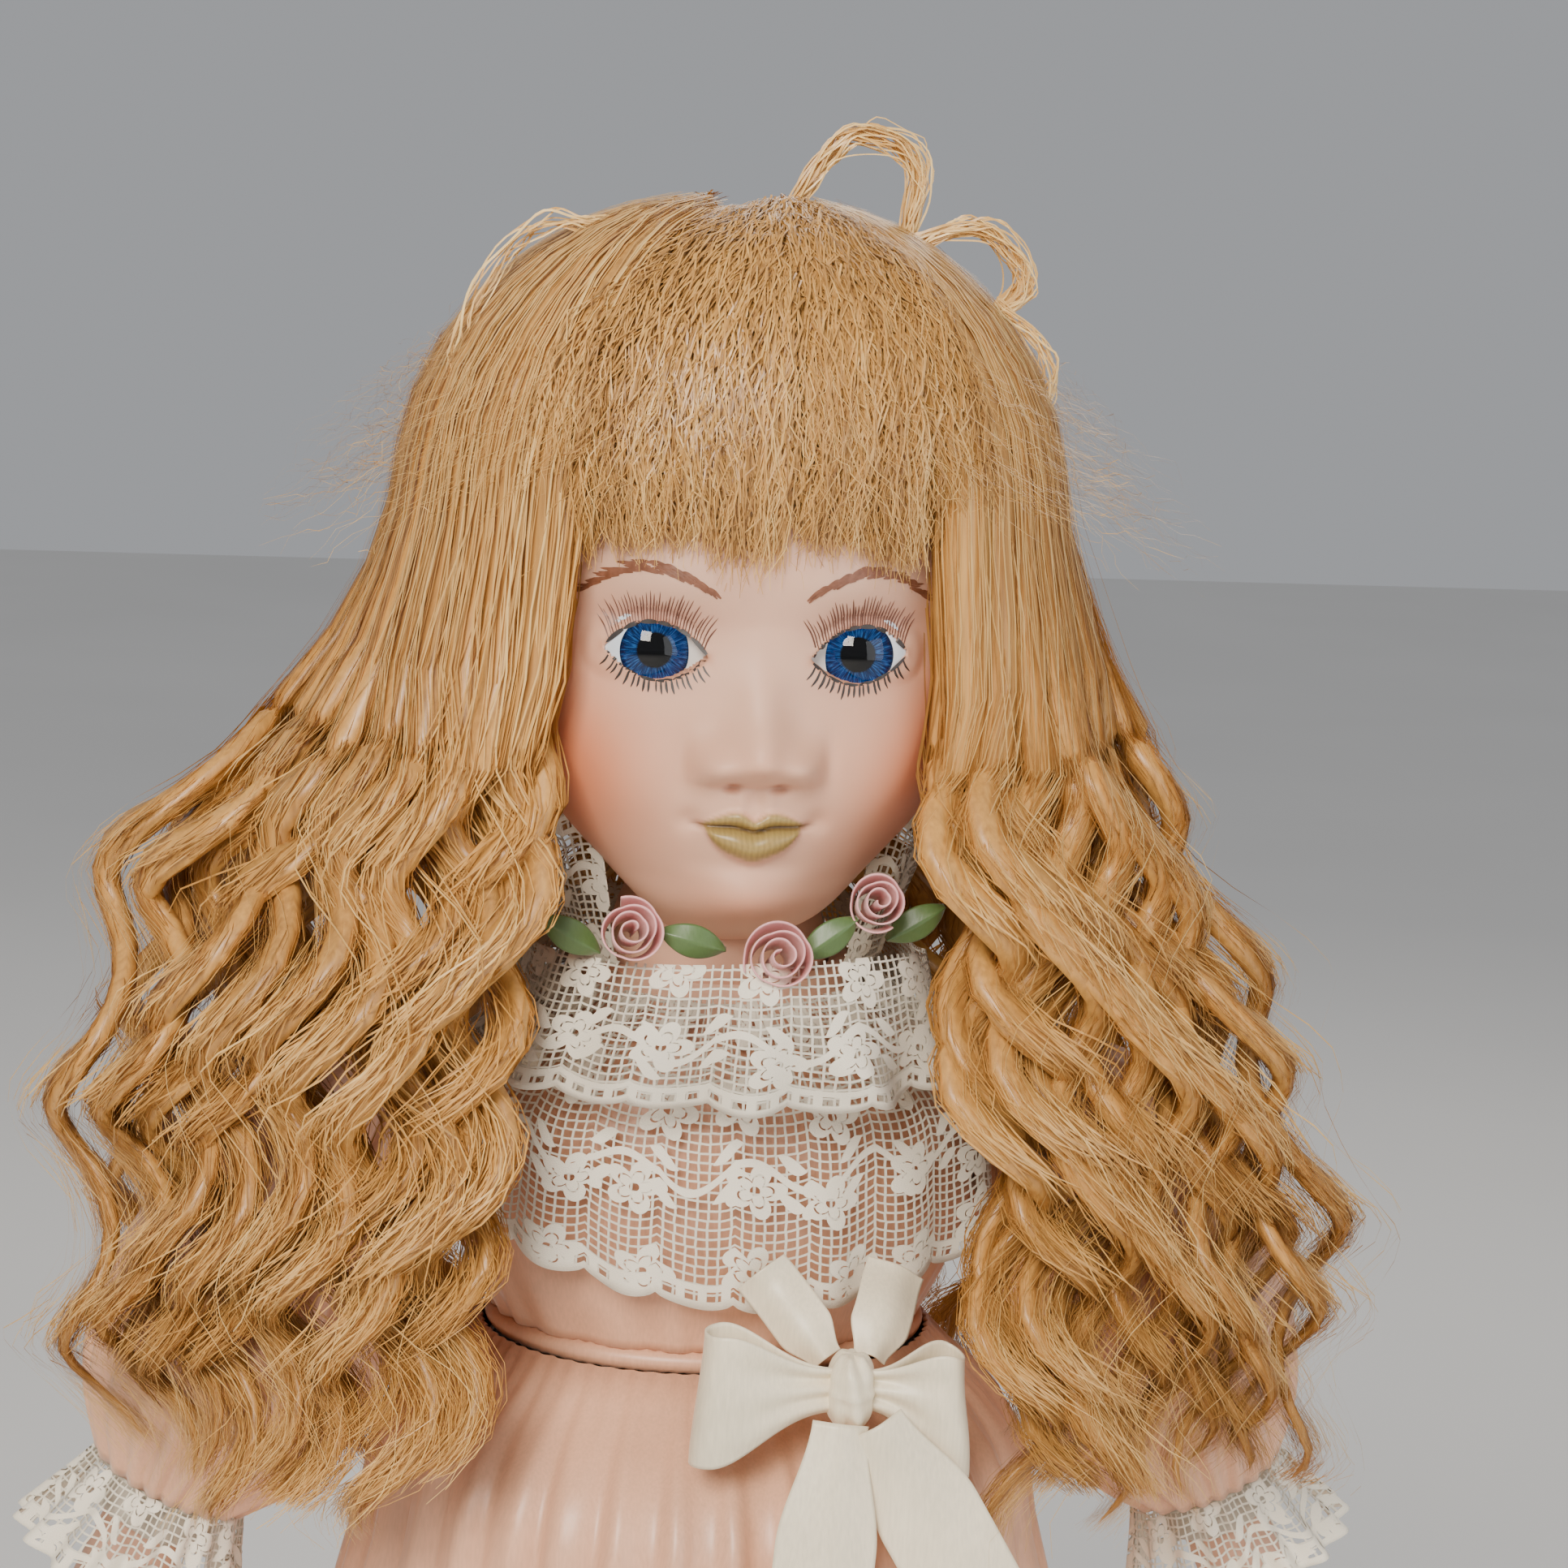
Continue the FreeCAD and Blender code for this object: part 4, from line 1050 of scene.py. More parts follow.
# ---------------------------------------------------------------- wig
WHORL = np.array((5.0, -4.0, 403.0))
TEMPLE_Z = 365.0
CURTAIN_Z = (224.0, 236.0, 262.0, 290.0, 312.0, 330.0, 345.0, 365.0)
FRONT_INNER = ((39, -43), (38, -42), (36, -42), (33, -40), (30, -37), (28.5, -32), (27.5, -30),
    (26, -31))
FRONT_MIDDLE = ((57, -38), (58, -39), (60, -40), (58, -38), (53, -32), (48, -24), (44.5, -16),
    (40, -13))
FRONT_OUTER = ((73, -28), (76, -28), (83, -23), (81, -16), (74, -6), (63, 4), (52.5, 8), (44, 10))
BACK_OUTER = ((74, 40), (77, 38), (80, 34), (76, 27), (67, 16), (58, 8), (49.5, 8), (44, 10))
BACK_MIDDLE = ((47, 56), (48, 53), (50, 51), (48, 46), (42, 43), (37, 39), (34, 37), (30, 38))
BACK_CENTRE = ((0, 60), (0, 56), (0, 53), (0, 48), (0, 46), (0, 45.5), (0, 46), (0, 47))
UPPER_STEPS = 12
LOWER_STEPS = 31
SPLIT_T = 0.516
HAIR_T = np.concatenate([np.linspace(0.0, SPLIT_T, UPPER_STEPS),
    np.linspace(SPLIT_T, 1.0, LOWER_STEPS)[1:]])
HAIR_STEPS = len(HAIR_T)


def curtain_point(rows, across, z):
    """A point of a hanging curtain of hair: across runs from its first edge to its last."""
    inner, middle, outer = (through(CURTAIN_Z, row, z) for row in rows)
    c = across[..., None]
    return inner * (1 - c) * (1 - 2 * c) + middle * 4 * c * (1 - c) + outer * c * (2 * c - 1)


def hair_course(rows, across, root, foot, depth, spread):
    """Paths from the crown over the head and down a curtain. Arrays of one value for each path."""
    t = HAIR_T[None, :]
    over = 0.36
    crown = np.clip(t / over, 0.0, 1.0)
    psi = root[:, None] + (math.pi / 2 - root[:, None]) * crown
    hang = np.clip((t - over) / (1.0 - over), 0.0, 1.0)
    z = np.where(
        t < over, TEMPLE_Z + (WHORL[2] - TEMPLE_Z) * np.cos(psi),
        TEMPLE_Z + (foot[:, None] - TEMPLE_Z) * hang
    )
    wide = np.broadcast_to(across[:, None], z.shape)
    xy = curtain_point(rows, wide, np.minimum(z, TEMPLE_Z))
    bow = np.sin(psi) ** 1.08
    xy = np.where((t < over)[..., None], WHORL[:2] + (xy - WHORL[:2]) * bow[..., None], xy)
    path = np.concatenate([xy, z[..., None]], axis=2)
    middle = np.array((0.0, 5.0, 350.0))
    outward = unit((path - middle) * np.array((1.0, 1.0, 1.0)) * np.where(z > TEMPLE_Z, 1.0,
        0.0)[..., None]
                   + (path - middle) * np.array((1.0, 1.0, 0.0)) * np.where(z > TEMPLE_Z, 0.0,
                       1.0)[..., None])
    path = path - outward * depth[:, None, None] * spread
    return path, outward, z


def waved(path, outward, z, phase, length, size):
    """Adds the long waves, which grow from the cheek down."""
    grow = smooth(-z, -347.0, -318.0)
    side = unit(np.stack([-outward[..., 1], outward[..., 0], np.zeros_like(z)], axis=2))
    turn = TAU * (TEMPLE_Z - z) / length[:, None] + phase[:, None]
    shift = side * (np.sin(turn) * size[:, None] * grow)[..., None]
    return path + shift + outward * (np.cos(turn) * size[:, None] * 0.7 * grow)[..., None]


def lock_strands(rng, path, outward, z, count, thick):
    """Strands about one lock's course: loose at the top, gathered and twisting lower down."""
    steps = path.shape[1]
    grow = smooth(-z[0], -350.0, -300.0)
    around = rng.uniform(0, TAU, count)
    out = np.sqrt(rng.uniform(0, 1, count))
    radius = (thick * (1.0 - 0.38 * grow))[None, :] * out[:, None]
    twist = around[:, None] + (0.07 * (TEMPLE_Z - z[0]) * grow)[None, :]
    side = unit(np.stack([-outward[0, :, 1], outward[0, :, 0], np.zeros(steps)], axis=1))
    offset = side[None] * (np.cos(twist) * radius)[..., None] + outward[0][None] * (np.sin(twist) * radius * 0.62)[..., None]
    t = HAIR_T[None, :]
    frizz = np.zeros((count, steps, 3))
    for waves, size in ((4.0, 0.6), (9.0, 0.4), (15.0, 0.3)):
        for axis in range(3):
            frizz[..., axis] += size * np.sin(TAU * (waves * rng.uniform(0.7, 1.3,
                (count, 1)) * t + rng.uniform(0, 1, (count, 1))))
    frizz *= (0.25 + 0.9 * smooth(t, 0.25, 0.8))[..., None]
    stray = (rng.uniform(0, 1, count) < 0.16).astype(float)[:, None]
    drift = stray * smooth(t, 0.15, 0.9) * rng.uniform(1.0, 10.0, (count, 1)) * rng.uniform(0.2,
        1.0, (count, 1))
    sway = np.sin(TAU * (t * rng.uniform(1.5, 4.0, (count, 1)) + rng.uniform(0, 1, (count, 1))))
    frizz += outward[0][None] * drift[..., None] + side[None] * (drift * sway * 0.7)[..., None]
    # Painted light and shade: strands on the outer side of each lock are lighter and those on the inner side darker;
    # stray strands are a little lighter, and the rest is random tone.
    inside = np.clip(0.62 + 0.36 * np.sin(twist) * out[:, None], 0.0, 1.0)
    shade = 0.52 * inside + 0.34 * rng.uniform(0, 1, (count, 1)) + 0.1 * stray
    return path + offset + frizz, shade


def clump_rows(side, front):
    """The curtain's edge rows for one side, with the fuller right side and the slimmer left."""
    rows = (FRONT_INNER, FRONT_MIDDLE, FRONT_OUTER) if front else (BACK_OUTER, BACK_MIDDLE, BACK_CENTRE)
    fuller = np.array([0.98, 0.99, 0.99, 0.95, 0.9, 0.94, 0.98, 1.0]) if side > 0 else np.array(
        [1.0, 1.02, 1.03, 1.06, 1.12, 1.07, 1.0, 1.0]
    )
    out = []
    for i, row in enumerate(rows):
        row = np.array(row, float)
        edge = (i == 2) if front else (i == 0)
        stretch = fuller if edge else 1.0 + (fuller - 1.0) * 0.5
        row[:, 0] *= stretch
        out.append(row)
    return out


def make_locks(side_name, front, rng):
    """One curtain of waved locks: its strands and the bars that fill them, above and below the split."""
    look = wig_settings()
    side = SIDES[side_name]
    rows = clump_rows(side, front)
    count = look.front_locks if front else look.back_locks
    strands = look.strands if front else int(look.strands * 0.9)
    parts = {"upper": [], "lower": []}
    bars = {"upper": [], "lower": []}
    mirror = np.array((side, 1.0, 1.0))
    for i in range(count):
        across = np.array([np.clip((i + 0.5) / count + rng.uniform(-0.02, 0.02), 0.02, 0.98)])
        layer = i % 2
        low = 233.0 if front else 222.0
        foot = np.array([low + rng.uniform(0, 14) + 5.0 * layer])
        root = np.array([rng.uniform(0.05, 0.35)])
        depth = np.array([1.5 + 5.0 * layer])
        path, outward, z = hair_course(rows, across, root, foot, depth, 1.0)
        phase = 2.6 * np.sin(6.0 * across + (0.6 if side > 0 else 2.1)) + rng.uniform(-0.8,
            0.8) + 1.4 * layer
        length = np.array([rng.uniform(27.0, 33.0)])
        size = np.array([look.wave * rng.uniform(0.8, 1.25)])
        path = waved(path, outward, z, phase, length, size)
        thick = 4.9 if front else 5.6
        hair_paths, shade = lock_strands(rng, path, outward, z, strands, thick)
        fine = rng.uniform(0.14, 0.34, (strands, 1)) * (1.0 - 0.75 * HAIR_T[None, :] ** 5)
        shadow = 0.85 - 0.22 * layer
        facing = np.broadcast_to(outward, hair_paths.shape)
        for key, part in (("upper", slice(0, UPPER_STEPS + 1)),
            ("lower", slice(UPPER_STEPS - 1, None))):
            parts[key].append((hair_paths[:, part], fine[:, part], facing[:, part],
                (shade * shadow)[:, part]))
            # Painted shade: the bars that fill each lock get a dark shade, the shadow inside the lock.
            body = (thick * 0.8 * (1.0 - 0.85 * HAIR_T**3))[None, :]
            dark = np.full((1, HAIR_STEPS), 0.24 + 0.14 * rng.uniform())
            bars[key].append((path[:, part], body[:, part], outward[:, part], dark[:, part]))
    where = "front" if front else "back"
    made = {}
    for key in parts:
        columns = [np.concatenate([p[k] for p in parts[key]]) for k in range(4)]
        columns[0] = columns[0] * mirror
        columns[2] = columns[2] * mirror
        made[key] = ribbons(f"hair_{where}_{side_name}_{key}", *columns)
        columns = [np.concatenate([p[k] for p in bars[key]]) for k in range(4)]
        columns[0] = columns[0] * mirror
        columns[2] = columns[2] * mirror
        core = tubes(f"hair_{where}_{side_name}_{key}_fill", *columns)
        for piece in (made[key], core):
            dress_in(piece, material("wig_hair", hair))
            if key == "upper":
                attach(piece, "head")
        if key == "lower":
            made["fill"] = core
    return made


def hang_from_head(piece):
    """Bakes a lower piece of hair's placement into its points; it is attached to no body."""
    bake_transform(piece)


def make_bangs(rng):
    """The full bangs, combed forward from the whorl to a slightly ragged edge over the brows."""
    look = wig_settings()
    count = look.bang_strands
    steps = 16
    end_x = rng.uniform(-29.5, 29.5, count)
    middles = np.sort(rng.uniform(-31.0, 31.0, 15))
    lock = middles[np.argmin(np.abs(end_x[:, None] - middles[None, :]), axis=1)]
    end_x = end_x * 0.84 + lock * 0.16
    layer = rng.uniform(0, 1, count) ** 1.5
    t = np.linspace(0, 1, steps)[None, :]
    over = 0.8
    psi0 = (0.03 + 0.72 * rng.uniform(0, 1, count) ** 1.6)[:, None]
    psi = psi0 + (math.pi / 2 - psi0) * np.clip(t / over, 0, 1)
    turn_z = 371.0
    edge_z = 361.2 + 1.3 * np.sin(lock * 1.9) + rng.normal(0, 1.3, count) + 0.003 * end_x**2
    down = np.clip((t - over) / (1 - over), 0, 1)
    z = np.where(t < over, turn_z + (WHORL[2] - turn_z) * np.cos(psi),
        turn_z + (edge_z[:, None] - turn_z) * down)
    base_y = 4.4 - 42.2 * np.sqrt(np.maximum(1 - (end_x / 45.0) ** 2, 0.05))
    bow = np.sin(psi) ** 1.1
    x = WHORL[0] + (end_x[:, None] - WHORL[0]) * bow
    y = WHORL[1] + (base_y[:, None] - WHORL[1]) * bow
    x = x + 0.6 * np.sin(TAU * (t * 1.6 + end_x[:, None] * 0.03)) * smooth(t, 0.3, 0.9)
    y = y + 2.6 * down**1.5 + 3.4 * layer[:, None] * smooth(t, 0.1, 0.5)
    z = z - 2.0 * layer[:, None] * (1 - smooth(t, 0.5, 0.9))
    paths = np.stack([x, y, z], axis=2)
    for waves, size in ((2.0, 1.1), (4.5, 0.5), (9.0, 0.28)):
        for axis in range(3):
            paths[..., axis] += size * np.sin(TAU * (waves * rng.uniform(0.6, 1.4,
                (count, 1)) * t + rng.uniform(0, 1, (count, 1))))
    stray = (rng.uniform(0, 1, count) < 0.05)[:, None]
    paths[..., 1] -= stray * 2.2 * smooth(t, 0.2, 0.8)
    outward = unit(paths - np.array((0.0, 5.0, 352.0)))
    widths = rng.uniform(0.14, 0.3, (count, 1)) * (1.0 - 0.7 * t**6)
    # Painted light and shade: the lit value gives lit and shaded bands across the bangs, deeper layers are painted
    # darker, and the strands are darker towards the whorl.
    lit = 0.5 + 0.3 * np.sin(end_x * 0.9 + lock)[:, None] * smooth(t, 0.2, 0.8)
    shade = (0.42 * lit + 0.4 * rng.uniform(0, 1,
        (count, 1))) * (1.0 - 0.55 * layer[:, None]) * (0.75 + 0.35 * t)
    piece = ribbons("hair_bangs", paths, widths, outward, shade)
    dress_in(piece, material("wig_hair", hair))
    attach(piece, "head")
    return piece


def scalp_shell():
    """A thin combed layer under the strands, so that no net shows between them."""
    levels = (334.0, 345.0, 360.0, 375.0, 388.0, 397.0, 402.3)
    ovals = ((44.0, 33.0, 9.5), (43.5, 37.0, 7.0), (41.0, 39.8, 5.0), (36.8, 38.5, 4.0),
        (28.0, 30.5, 4.0), (17.0, 19.0, 4.0), (3.0, 3.5, 4.0))

    def place(u, v):
        turn = -math.pi / 2 + (u - 0.5) * TAU
        turn = turn + math.pi
        away = np.abs(u - 0.5) * 2.0
        low = np.where(away > 0.80, 364.5, levels[0])
        low = levels[0] + (364.5 - levels[0]) * smooth(away, 0.76, 0.8)
        z = low + (levels[-1] - low) * np.sin(v * math.pi / 2)
        rx, ry, cy = through(levels, ovals, z).T
        return np.stack([rx * np.cos(turn), cy + ry * np.sin(turn), z], axis=1)

    piece = cloth("hair_underlayer", 120, 40, place, wall=1.0)
    # Painted shade: the underlayer gets a dark shade, so it reads as the shadow under the strands.
    dark = piece.data.attributes.new("shade", "FLOAT", "POINT")
    dark.data.foreach_set("value", np.full(len(piece.data.vertices), 0.3, np.float32))
    dress_in(piece, material("wig_hair", hair))
    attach(piece, "head")
    return piece


def make_loops(rng):
    """Stray rings and wisps that stand off the crown."""
    arcs = (
        ((6.0, 2.0, 403.0), (13.5, 1.0, 412.5), (22.0, 0.0, 409.0), (21.0, 0.0, 398.0)),
        ((20.0, 0.0, 398.0), (31.0, -1.0, 401.0), (37.0, -2.0, 394.0), (29.0, -3.0, 387.0)),
        ((33.0, -4.0, 392.0), (40.5, -5.0, 384.0), (37.5, -6.0, 376.0), (34.0, -6.0, 372.0)),
        ((-18.0, -6.0, 400.0), (-28.0, -6.0, 399.0), (-36.0, -7.0, 388.0), (-38.0, -8.0, 380.0)),
    )
    paths = []
    steps = 26
    for arc, count, loose in zip(arcs, (46, 40, 16, 12), (0.8, 0.9, 0.7, 1.0)):
        arc = np.array(arc)
        t = np.linspace(0, 1, steps)
        course = through(np.linspace(0, 1, len(arc)), arc, t)
        for _ in range(count):
            shift = rng.normal(0, loose, 3)
            wobble = np.stack([0.4 * np.sin(TAU * (t * rng.uniform(2,
                5) + rng.uniform())) for _ in range(3)], axis=1)
            paths.append(course + shift * (0.4 + 0.6 * np.sin(t * math.pi))[:, None] + wobble)
    paths = np.array(paths)
    outward = unit(paths - np.array((0.0, 60.0, 370.0)))
    widths = rng.uniform(0.18, 0.34, (len(paths), 1)) * np.ones((1, steps))
    shade = np.repeat(rng.uniform(0.45, 0.95, (len(paths), 1)), steps, axis=1)
    piece = ribbons("hair_stray_loops", paths, widths, outward, shade)
    dress_in(piece, material("wig_hair", hair))
    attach(piece, "head")
    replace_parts(piece, "wig_loops")


def make_flyaways(rng):
    """Single strands that stand off all round the head."""
    count = 1900
    steps = 14
    turn = rng.uniform(0, TAU, count)
    lift = np.arccos(rng.uniform(0.15, 0.995, count))
    base = np.stack([
        43.0 * np.sin(lift) * np.cos(turn), 4.0 + 42.0 * np.sin(lift) * np.sin(turn),
        362.0 + 40.0 * np.cos(lift)
    ], axis=1)
    keep = ~((base[:, 1] < -20.0) & (np.abs(base[:, 0]) < 30.0) & (base[:, 2] < 372.0))
    base = base[keep]
    count = len(base)
    away = unit(base - np.array((0.0, 5.0, 352.0)))
    fall = unit(np.stack([base[:, 0], base[:, 1] - 4.0, np.full(count, -26.0)], axis=1))
    t = np.linspace(0, 1, steps)[None, :, None]
    length = rng.uniform(9.0, 26.0, count)[:, None, None]
    paths = base[:, None] + fall[:, None] * t * length + away[:, None] * t * (1.0 - 0.55 * t) * rng.uniform(1.0, 8.0, count)[:, None, None]
    for waves, size in ((1.5, 1.1), (4.0, 0.5)):
        for axis in range(3):
            wave = np.sin(TAU * (waves * t[..., 0] + rng.uniform(0, 1, (count, 1))))
            paths[..., axis] += size * wave * t[..., 0]
    outward = np.repeat(away[:, None], steps, axis=1)
    widths = rng.uniform(0.08, 0.17, (count, 1)) * (1.0 - 0.7 * t[..., 0] ** 2)
    shade = np.repeat(rng.uniform(0.2, 0.7, (count, 1)), steps, axis=1)
    piece = ribbons("hair_flyaways", paths, widths, outward, shade)
    dress_in(piece, material("wig_hair", hair))
    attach(piece, "head")


def make_wig():
    """The whole wig, from the combed underlayer to the last stray hair."""
    rng = np.random.default_rng(11)
    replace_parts(scalp_shell(), "wig_crown")
    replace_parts(make_bangs(rng), "wig_bangs")
    for name in SIDES:
        front = make_locks(name, True, rng)
        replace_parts(front["upper"], f"wig_side_{name}")
        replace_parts(front["lower"], f"curls_{name}")
        back = make_locks(name, False, rng)
        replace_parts(back["lower"], "curls_back")
        for made in (front, back):
            hang_from_head(made["lower"])
            hang_from_head(made["fill"])
    make_loops(rng)
    make_flyaways(rng)


# ---------------------------------------------------------------- lace
COLLAR_EDGE_X = 36.2


def thin_cloth(name, across, along, place, wall, wrap=False):
    """A cloth with a thin wall."""
    piece = cloth(name, across, along, place, 0.0, wrap)
    apply(piece, "SOLIDIFY", thickness=wall * MM, offset=0.0, use_even_offset=False)
    return piece


def ring(rows, turn, z):
    """Points of an oval ring at height z, turned from the front; rows hold z, rx, ry and the middle's y."""
    rows = np.array(sorted(rows), float)
    rx, ry, cy = through(rows[:, 0], rows[:, 1:], z).T
    return np.stack([rx * np.sin(turn), cy - ry * np.cos(turn), z], axis=1)


def outwards(p, middle_y):
    away = p * np.array((1.0, 1.0, 0.0)) - np.array((0.0, middle_y, 0.0))
    return unit(away)


LOWER_TIER = ((262.0, 41, 30.5, 0.5), (275, 41, 30, 0.5), (288, 37.5, 27.5, 1), (295, 29, 23.5, 2),
    (300.5, 21.5, 20.8, 3))
UPPER_TIER = ((289.0, 37.5, 38.0, 1.5), (297, 35.5, 41.5, 1.8), (303, 33.0, 43.0, 2.2),
    (308.5, 31.0, 43.5, 3), (312.0, 29.0, 43.0, 3))


def make_lower_lace():
    """The wide lace collar that lies over the shoulders and the top of the dress."""

    def place(u, v):
        turn = (u - 0.5) * TAU
        x_edge = 41.0 * np.sin(turn)
        back = np.cos(turn) < 0
        low = 263.2 + np.where(back, 2.0, 0.0062 * (x_edge - 4.6) ** 2)
        scallop = 1.5 * np.abs(np.sin(26.0 * math.pi * u)) ** 0.7
        z = 300.5 + (low - scallop - 300.5) * v
        p = ring(LOWER_TIER, turn, np.maximum(z, 262.0))
        p[:, 2] = z
        ripple = 0.75 * np.cos(19.0 * turn + 0.9 * np.sin(3 * turn)) + 0.45 * np.sin(7.0 * turn + 0.6)
        p += outwards(p, 1.0) * (ripple * v**1.5 + 0.5 * v)[:, None]
        p[:, 0] = np.clip(p[:, 0], -COLLAR_EDGE_X, COLLAR_EDGE_X)
        return p

    piece = thin_cloth("lace_lower_tier", 416, 24, place, 0.16, wrap=True)
    dress_in(piece, material("lower_lace", lace(40.0, 228.0)))
    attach(piece, "torso")
    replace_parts(piece, "collar_lower_lace")


def make_upper_lace():
    """The gathered ruffle under the chin, with one deep slanting fold."""

    def place(u, v):
        turn = (u - 0.5) * TAU
        scallop = 1.3 * np.abs(np.sin(23.0 * math.pi * u)) ** 0.7
        low = 291.5 + 2.6 * np.sin(turn * 0.5) ** 2
        front = smooth(np.cos(turn), 0.1, 0.8)
        top = 306.0 + 3.8 * front + 0.9 * np.sin(3.0 * turn + 1.0)
        z = top + (low - scallop - top) * v
        p = ring(UPPER_TIER, turn, np.maximum(z, 289.0))
        p[:, :2] *= (0.80 + 0.20 * front)[:, None]
        p[:, 2] = z
        ripple = 1.5 * np.cos(13.0 * turn + 1.4 * np.sin(2 * turn)) + 0.9 * np.sin(6.0 * turn)
        fold = 2.0 * np.exp(-(((turn - 0.25 - 0.5 * (v - 0.5)) / 0.11) ** 2))
        fold += 1.3 * np.exp(-(((turn + 0.45 + 0.3 * (v - 0.5)) / 0.12) ** 2))
        p += outwards(p, 3.0) * ((ripple + fold) * v**1.2 + 0.3)[:, None]
        p[:, 0] = np.clip(p[:, 0], -COLLAR_EDGE_X, COLLAR_EDGE_X)
        return p

    piece = thin_cloth("lace_upper_ruffle", 368, 20, place, 0.16, wrap=True)
    dress_in(piece, material("upper_lace", lace(21.0, 205.0)))
    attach(piece, "torso")
    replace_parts(piece, "collar_upper_ruffle")


def make_standing_lace(name):
    """The end of the ruffle that stands up beside the cheek, under the hair."""
    side = SIDES[name]
    top = 327.0 if side > 0 else 325.0

    def place(u, v):
        turn = side * (0.72 + 0.95 * u)
        scallop = 0.8 * np.abs(np.sin(5.0 * math.pi * u)) ** 0.7
        z = 304.0 + (top - 5.0 * u - 304.0) * v + scallop * v
        radius = 22.5 + 6.5 * v + 0.9 * np.cos(13.0 * turn) * v
        x = radius * np.sin(turn)
        y = 3.0 - radius * np.cos(turn)
        return np.stack([x, y, z], axis=1)

    piece = thin_cloth(f"lace_standing_{name}", 120, 40, place, 0.16)
    dress_in(piece, material("standing_lace", lace(24.0, 28.0)))
    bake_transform(piece)


# ---------------------------------------------------------------- roses and bow
ROSES = ((-15.6, -37.4, 313.6, 4.6), (2.8, -39.6, 311.0, 5.0), (15.6, -35.6, 317.4, 4.2))
LEAVES = ((-7.6, -38.0, 312.6, 75.0), (9.6, -38.2, 313.2, -55.0), (-22.5, -33.0, 312.0, 60.0),
    (21.5, -32.4, 314.0, -60.0))


def make_roses():
    """Three small roses rolled from folded ribbon."""
    made = []
    for number, (x, y, z, size) in enumerate(ROSES):
        phase = number * 1.7

        def place(u, v):
            turn = phase + u * TAU * 3.3
            petal = np.abs(np.sin(turn * 1.27 + 0.4))
            r = size * (0.12 + 0.80 * u**0.85) * (0.90 + 0.10 * petal) * (0.86 + 0.2 * v)
            tilt = 0.35
            deep = size * ((0.62 * (1.0 - u) + 0.30) * (2.0 * v - 1.0) + 0.10 * petal * v)
            px = x + r * np.cos(turn)
            pz = z + r * np.sin(turn) + tilt * deep
            return np.stack([px, y - deep, pz], axis=1)

        made.append(cloth(f"rose_{number}", 150, 9, place))
    piece = one_piece("ribbon_roses_rolled", made)
    apply(piece, "SOLIDIFY", thickness=0.22 * MM, offset=0.0, use_even_offset=False)
    dress_in(piece, material("rose_satin", satin(tuple(dress_settings().rose), 0.35)))
    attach(piece, "torso")
    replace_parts(piece, "ribbon_roses")


def make_leaves():
    """Green ribbon leaves, each folded along its middle."""
    made = []
    for number, (x, y, z, turn) in enumerate(LEAVES):
        angle = math.radians(turn)

        def place(u, v):
            along = (v - 0.5) * 8.6
            half = 2.1 * np.sin(np.clip(v, 0.02, 0.98) * math.pi) ** 0.75
            side = (u - 0.5) * 2.0 * half
            lift = 0.9 * np.abs(u - 0.5) * 2.0 + 1.3 * (v - 0.4) ** 2 * 2.0
            px = x + side * math.cos(angle) - along * math.sin(angle)
            pz = z + side * math.sin(angle) + along * math.cos(angle)
            return np.stack([px, y + lift, pz], axis=1)

        made.append(cloth(f"leaf_{number}", 16, 26, place))
    piece = one_piece("ribbon_leaves_folded", made)
    apply(piece, "SOLIDIFY", thickness=0.22 * MM, offset=0.0, use_even_offset=False)
    dress_in(piece, material("leaf_satin", satin(tuple(dress_settings().leaf), 0.3)))
    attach(piece, "torso")
    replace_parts(piece, "rose_leaves")


KNOT = (14.2, -42.0, 255.6)
BOW_STRIPS = (
    ((12.6, -46.0, 252.5), (7.0, -57.0, 208.5), 13.0, 1.4),
    ((17.0, -46.5, 252.5), (38.0, -50.0, 219.0), 13.5, -1.2),
    ((11.5, -38.5, 258.5), (3.5, -32.6, 268.5), 7.5, 0.4),
    ((17.2, -38.0, 258.5), (21.5, -30.0, 268.5), 8.0, -0.4),
)


def bow_loop_place(sign, reach, height, droop):
    """One soft loop of the bow, pinched where it leaves the knot."""

    def place(u, v):
        swing = np.sin(u * math.pi)
        out = 1.5 + reach * swing**0.8
        deep = 3.6 * np.sin(u * TAU) * (0.45 + 0.55 * swing)
        open_ = 0.34 + 0.66 * smooth(swing, 0.0, 0.85)
        crease = 0.8 * np.cos(v * 5.0 * math.pi + 1.0) * (1.0 - swing) + 0.35 * np.cos(v * 3.0 * math.pi)
        x = KNOT[0] + sign * (out + 0.7 * np.cos(v * math.pi) * swing)
        y = KNOT[1] - deep + crease * 0.6
        z = KNOT[2] + (v - 0.5) * height * open_ - droop * swing**1.5
        return np.stack([x, y, z], axis=1)

    return place


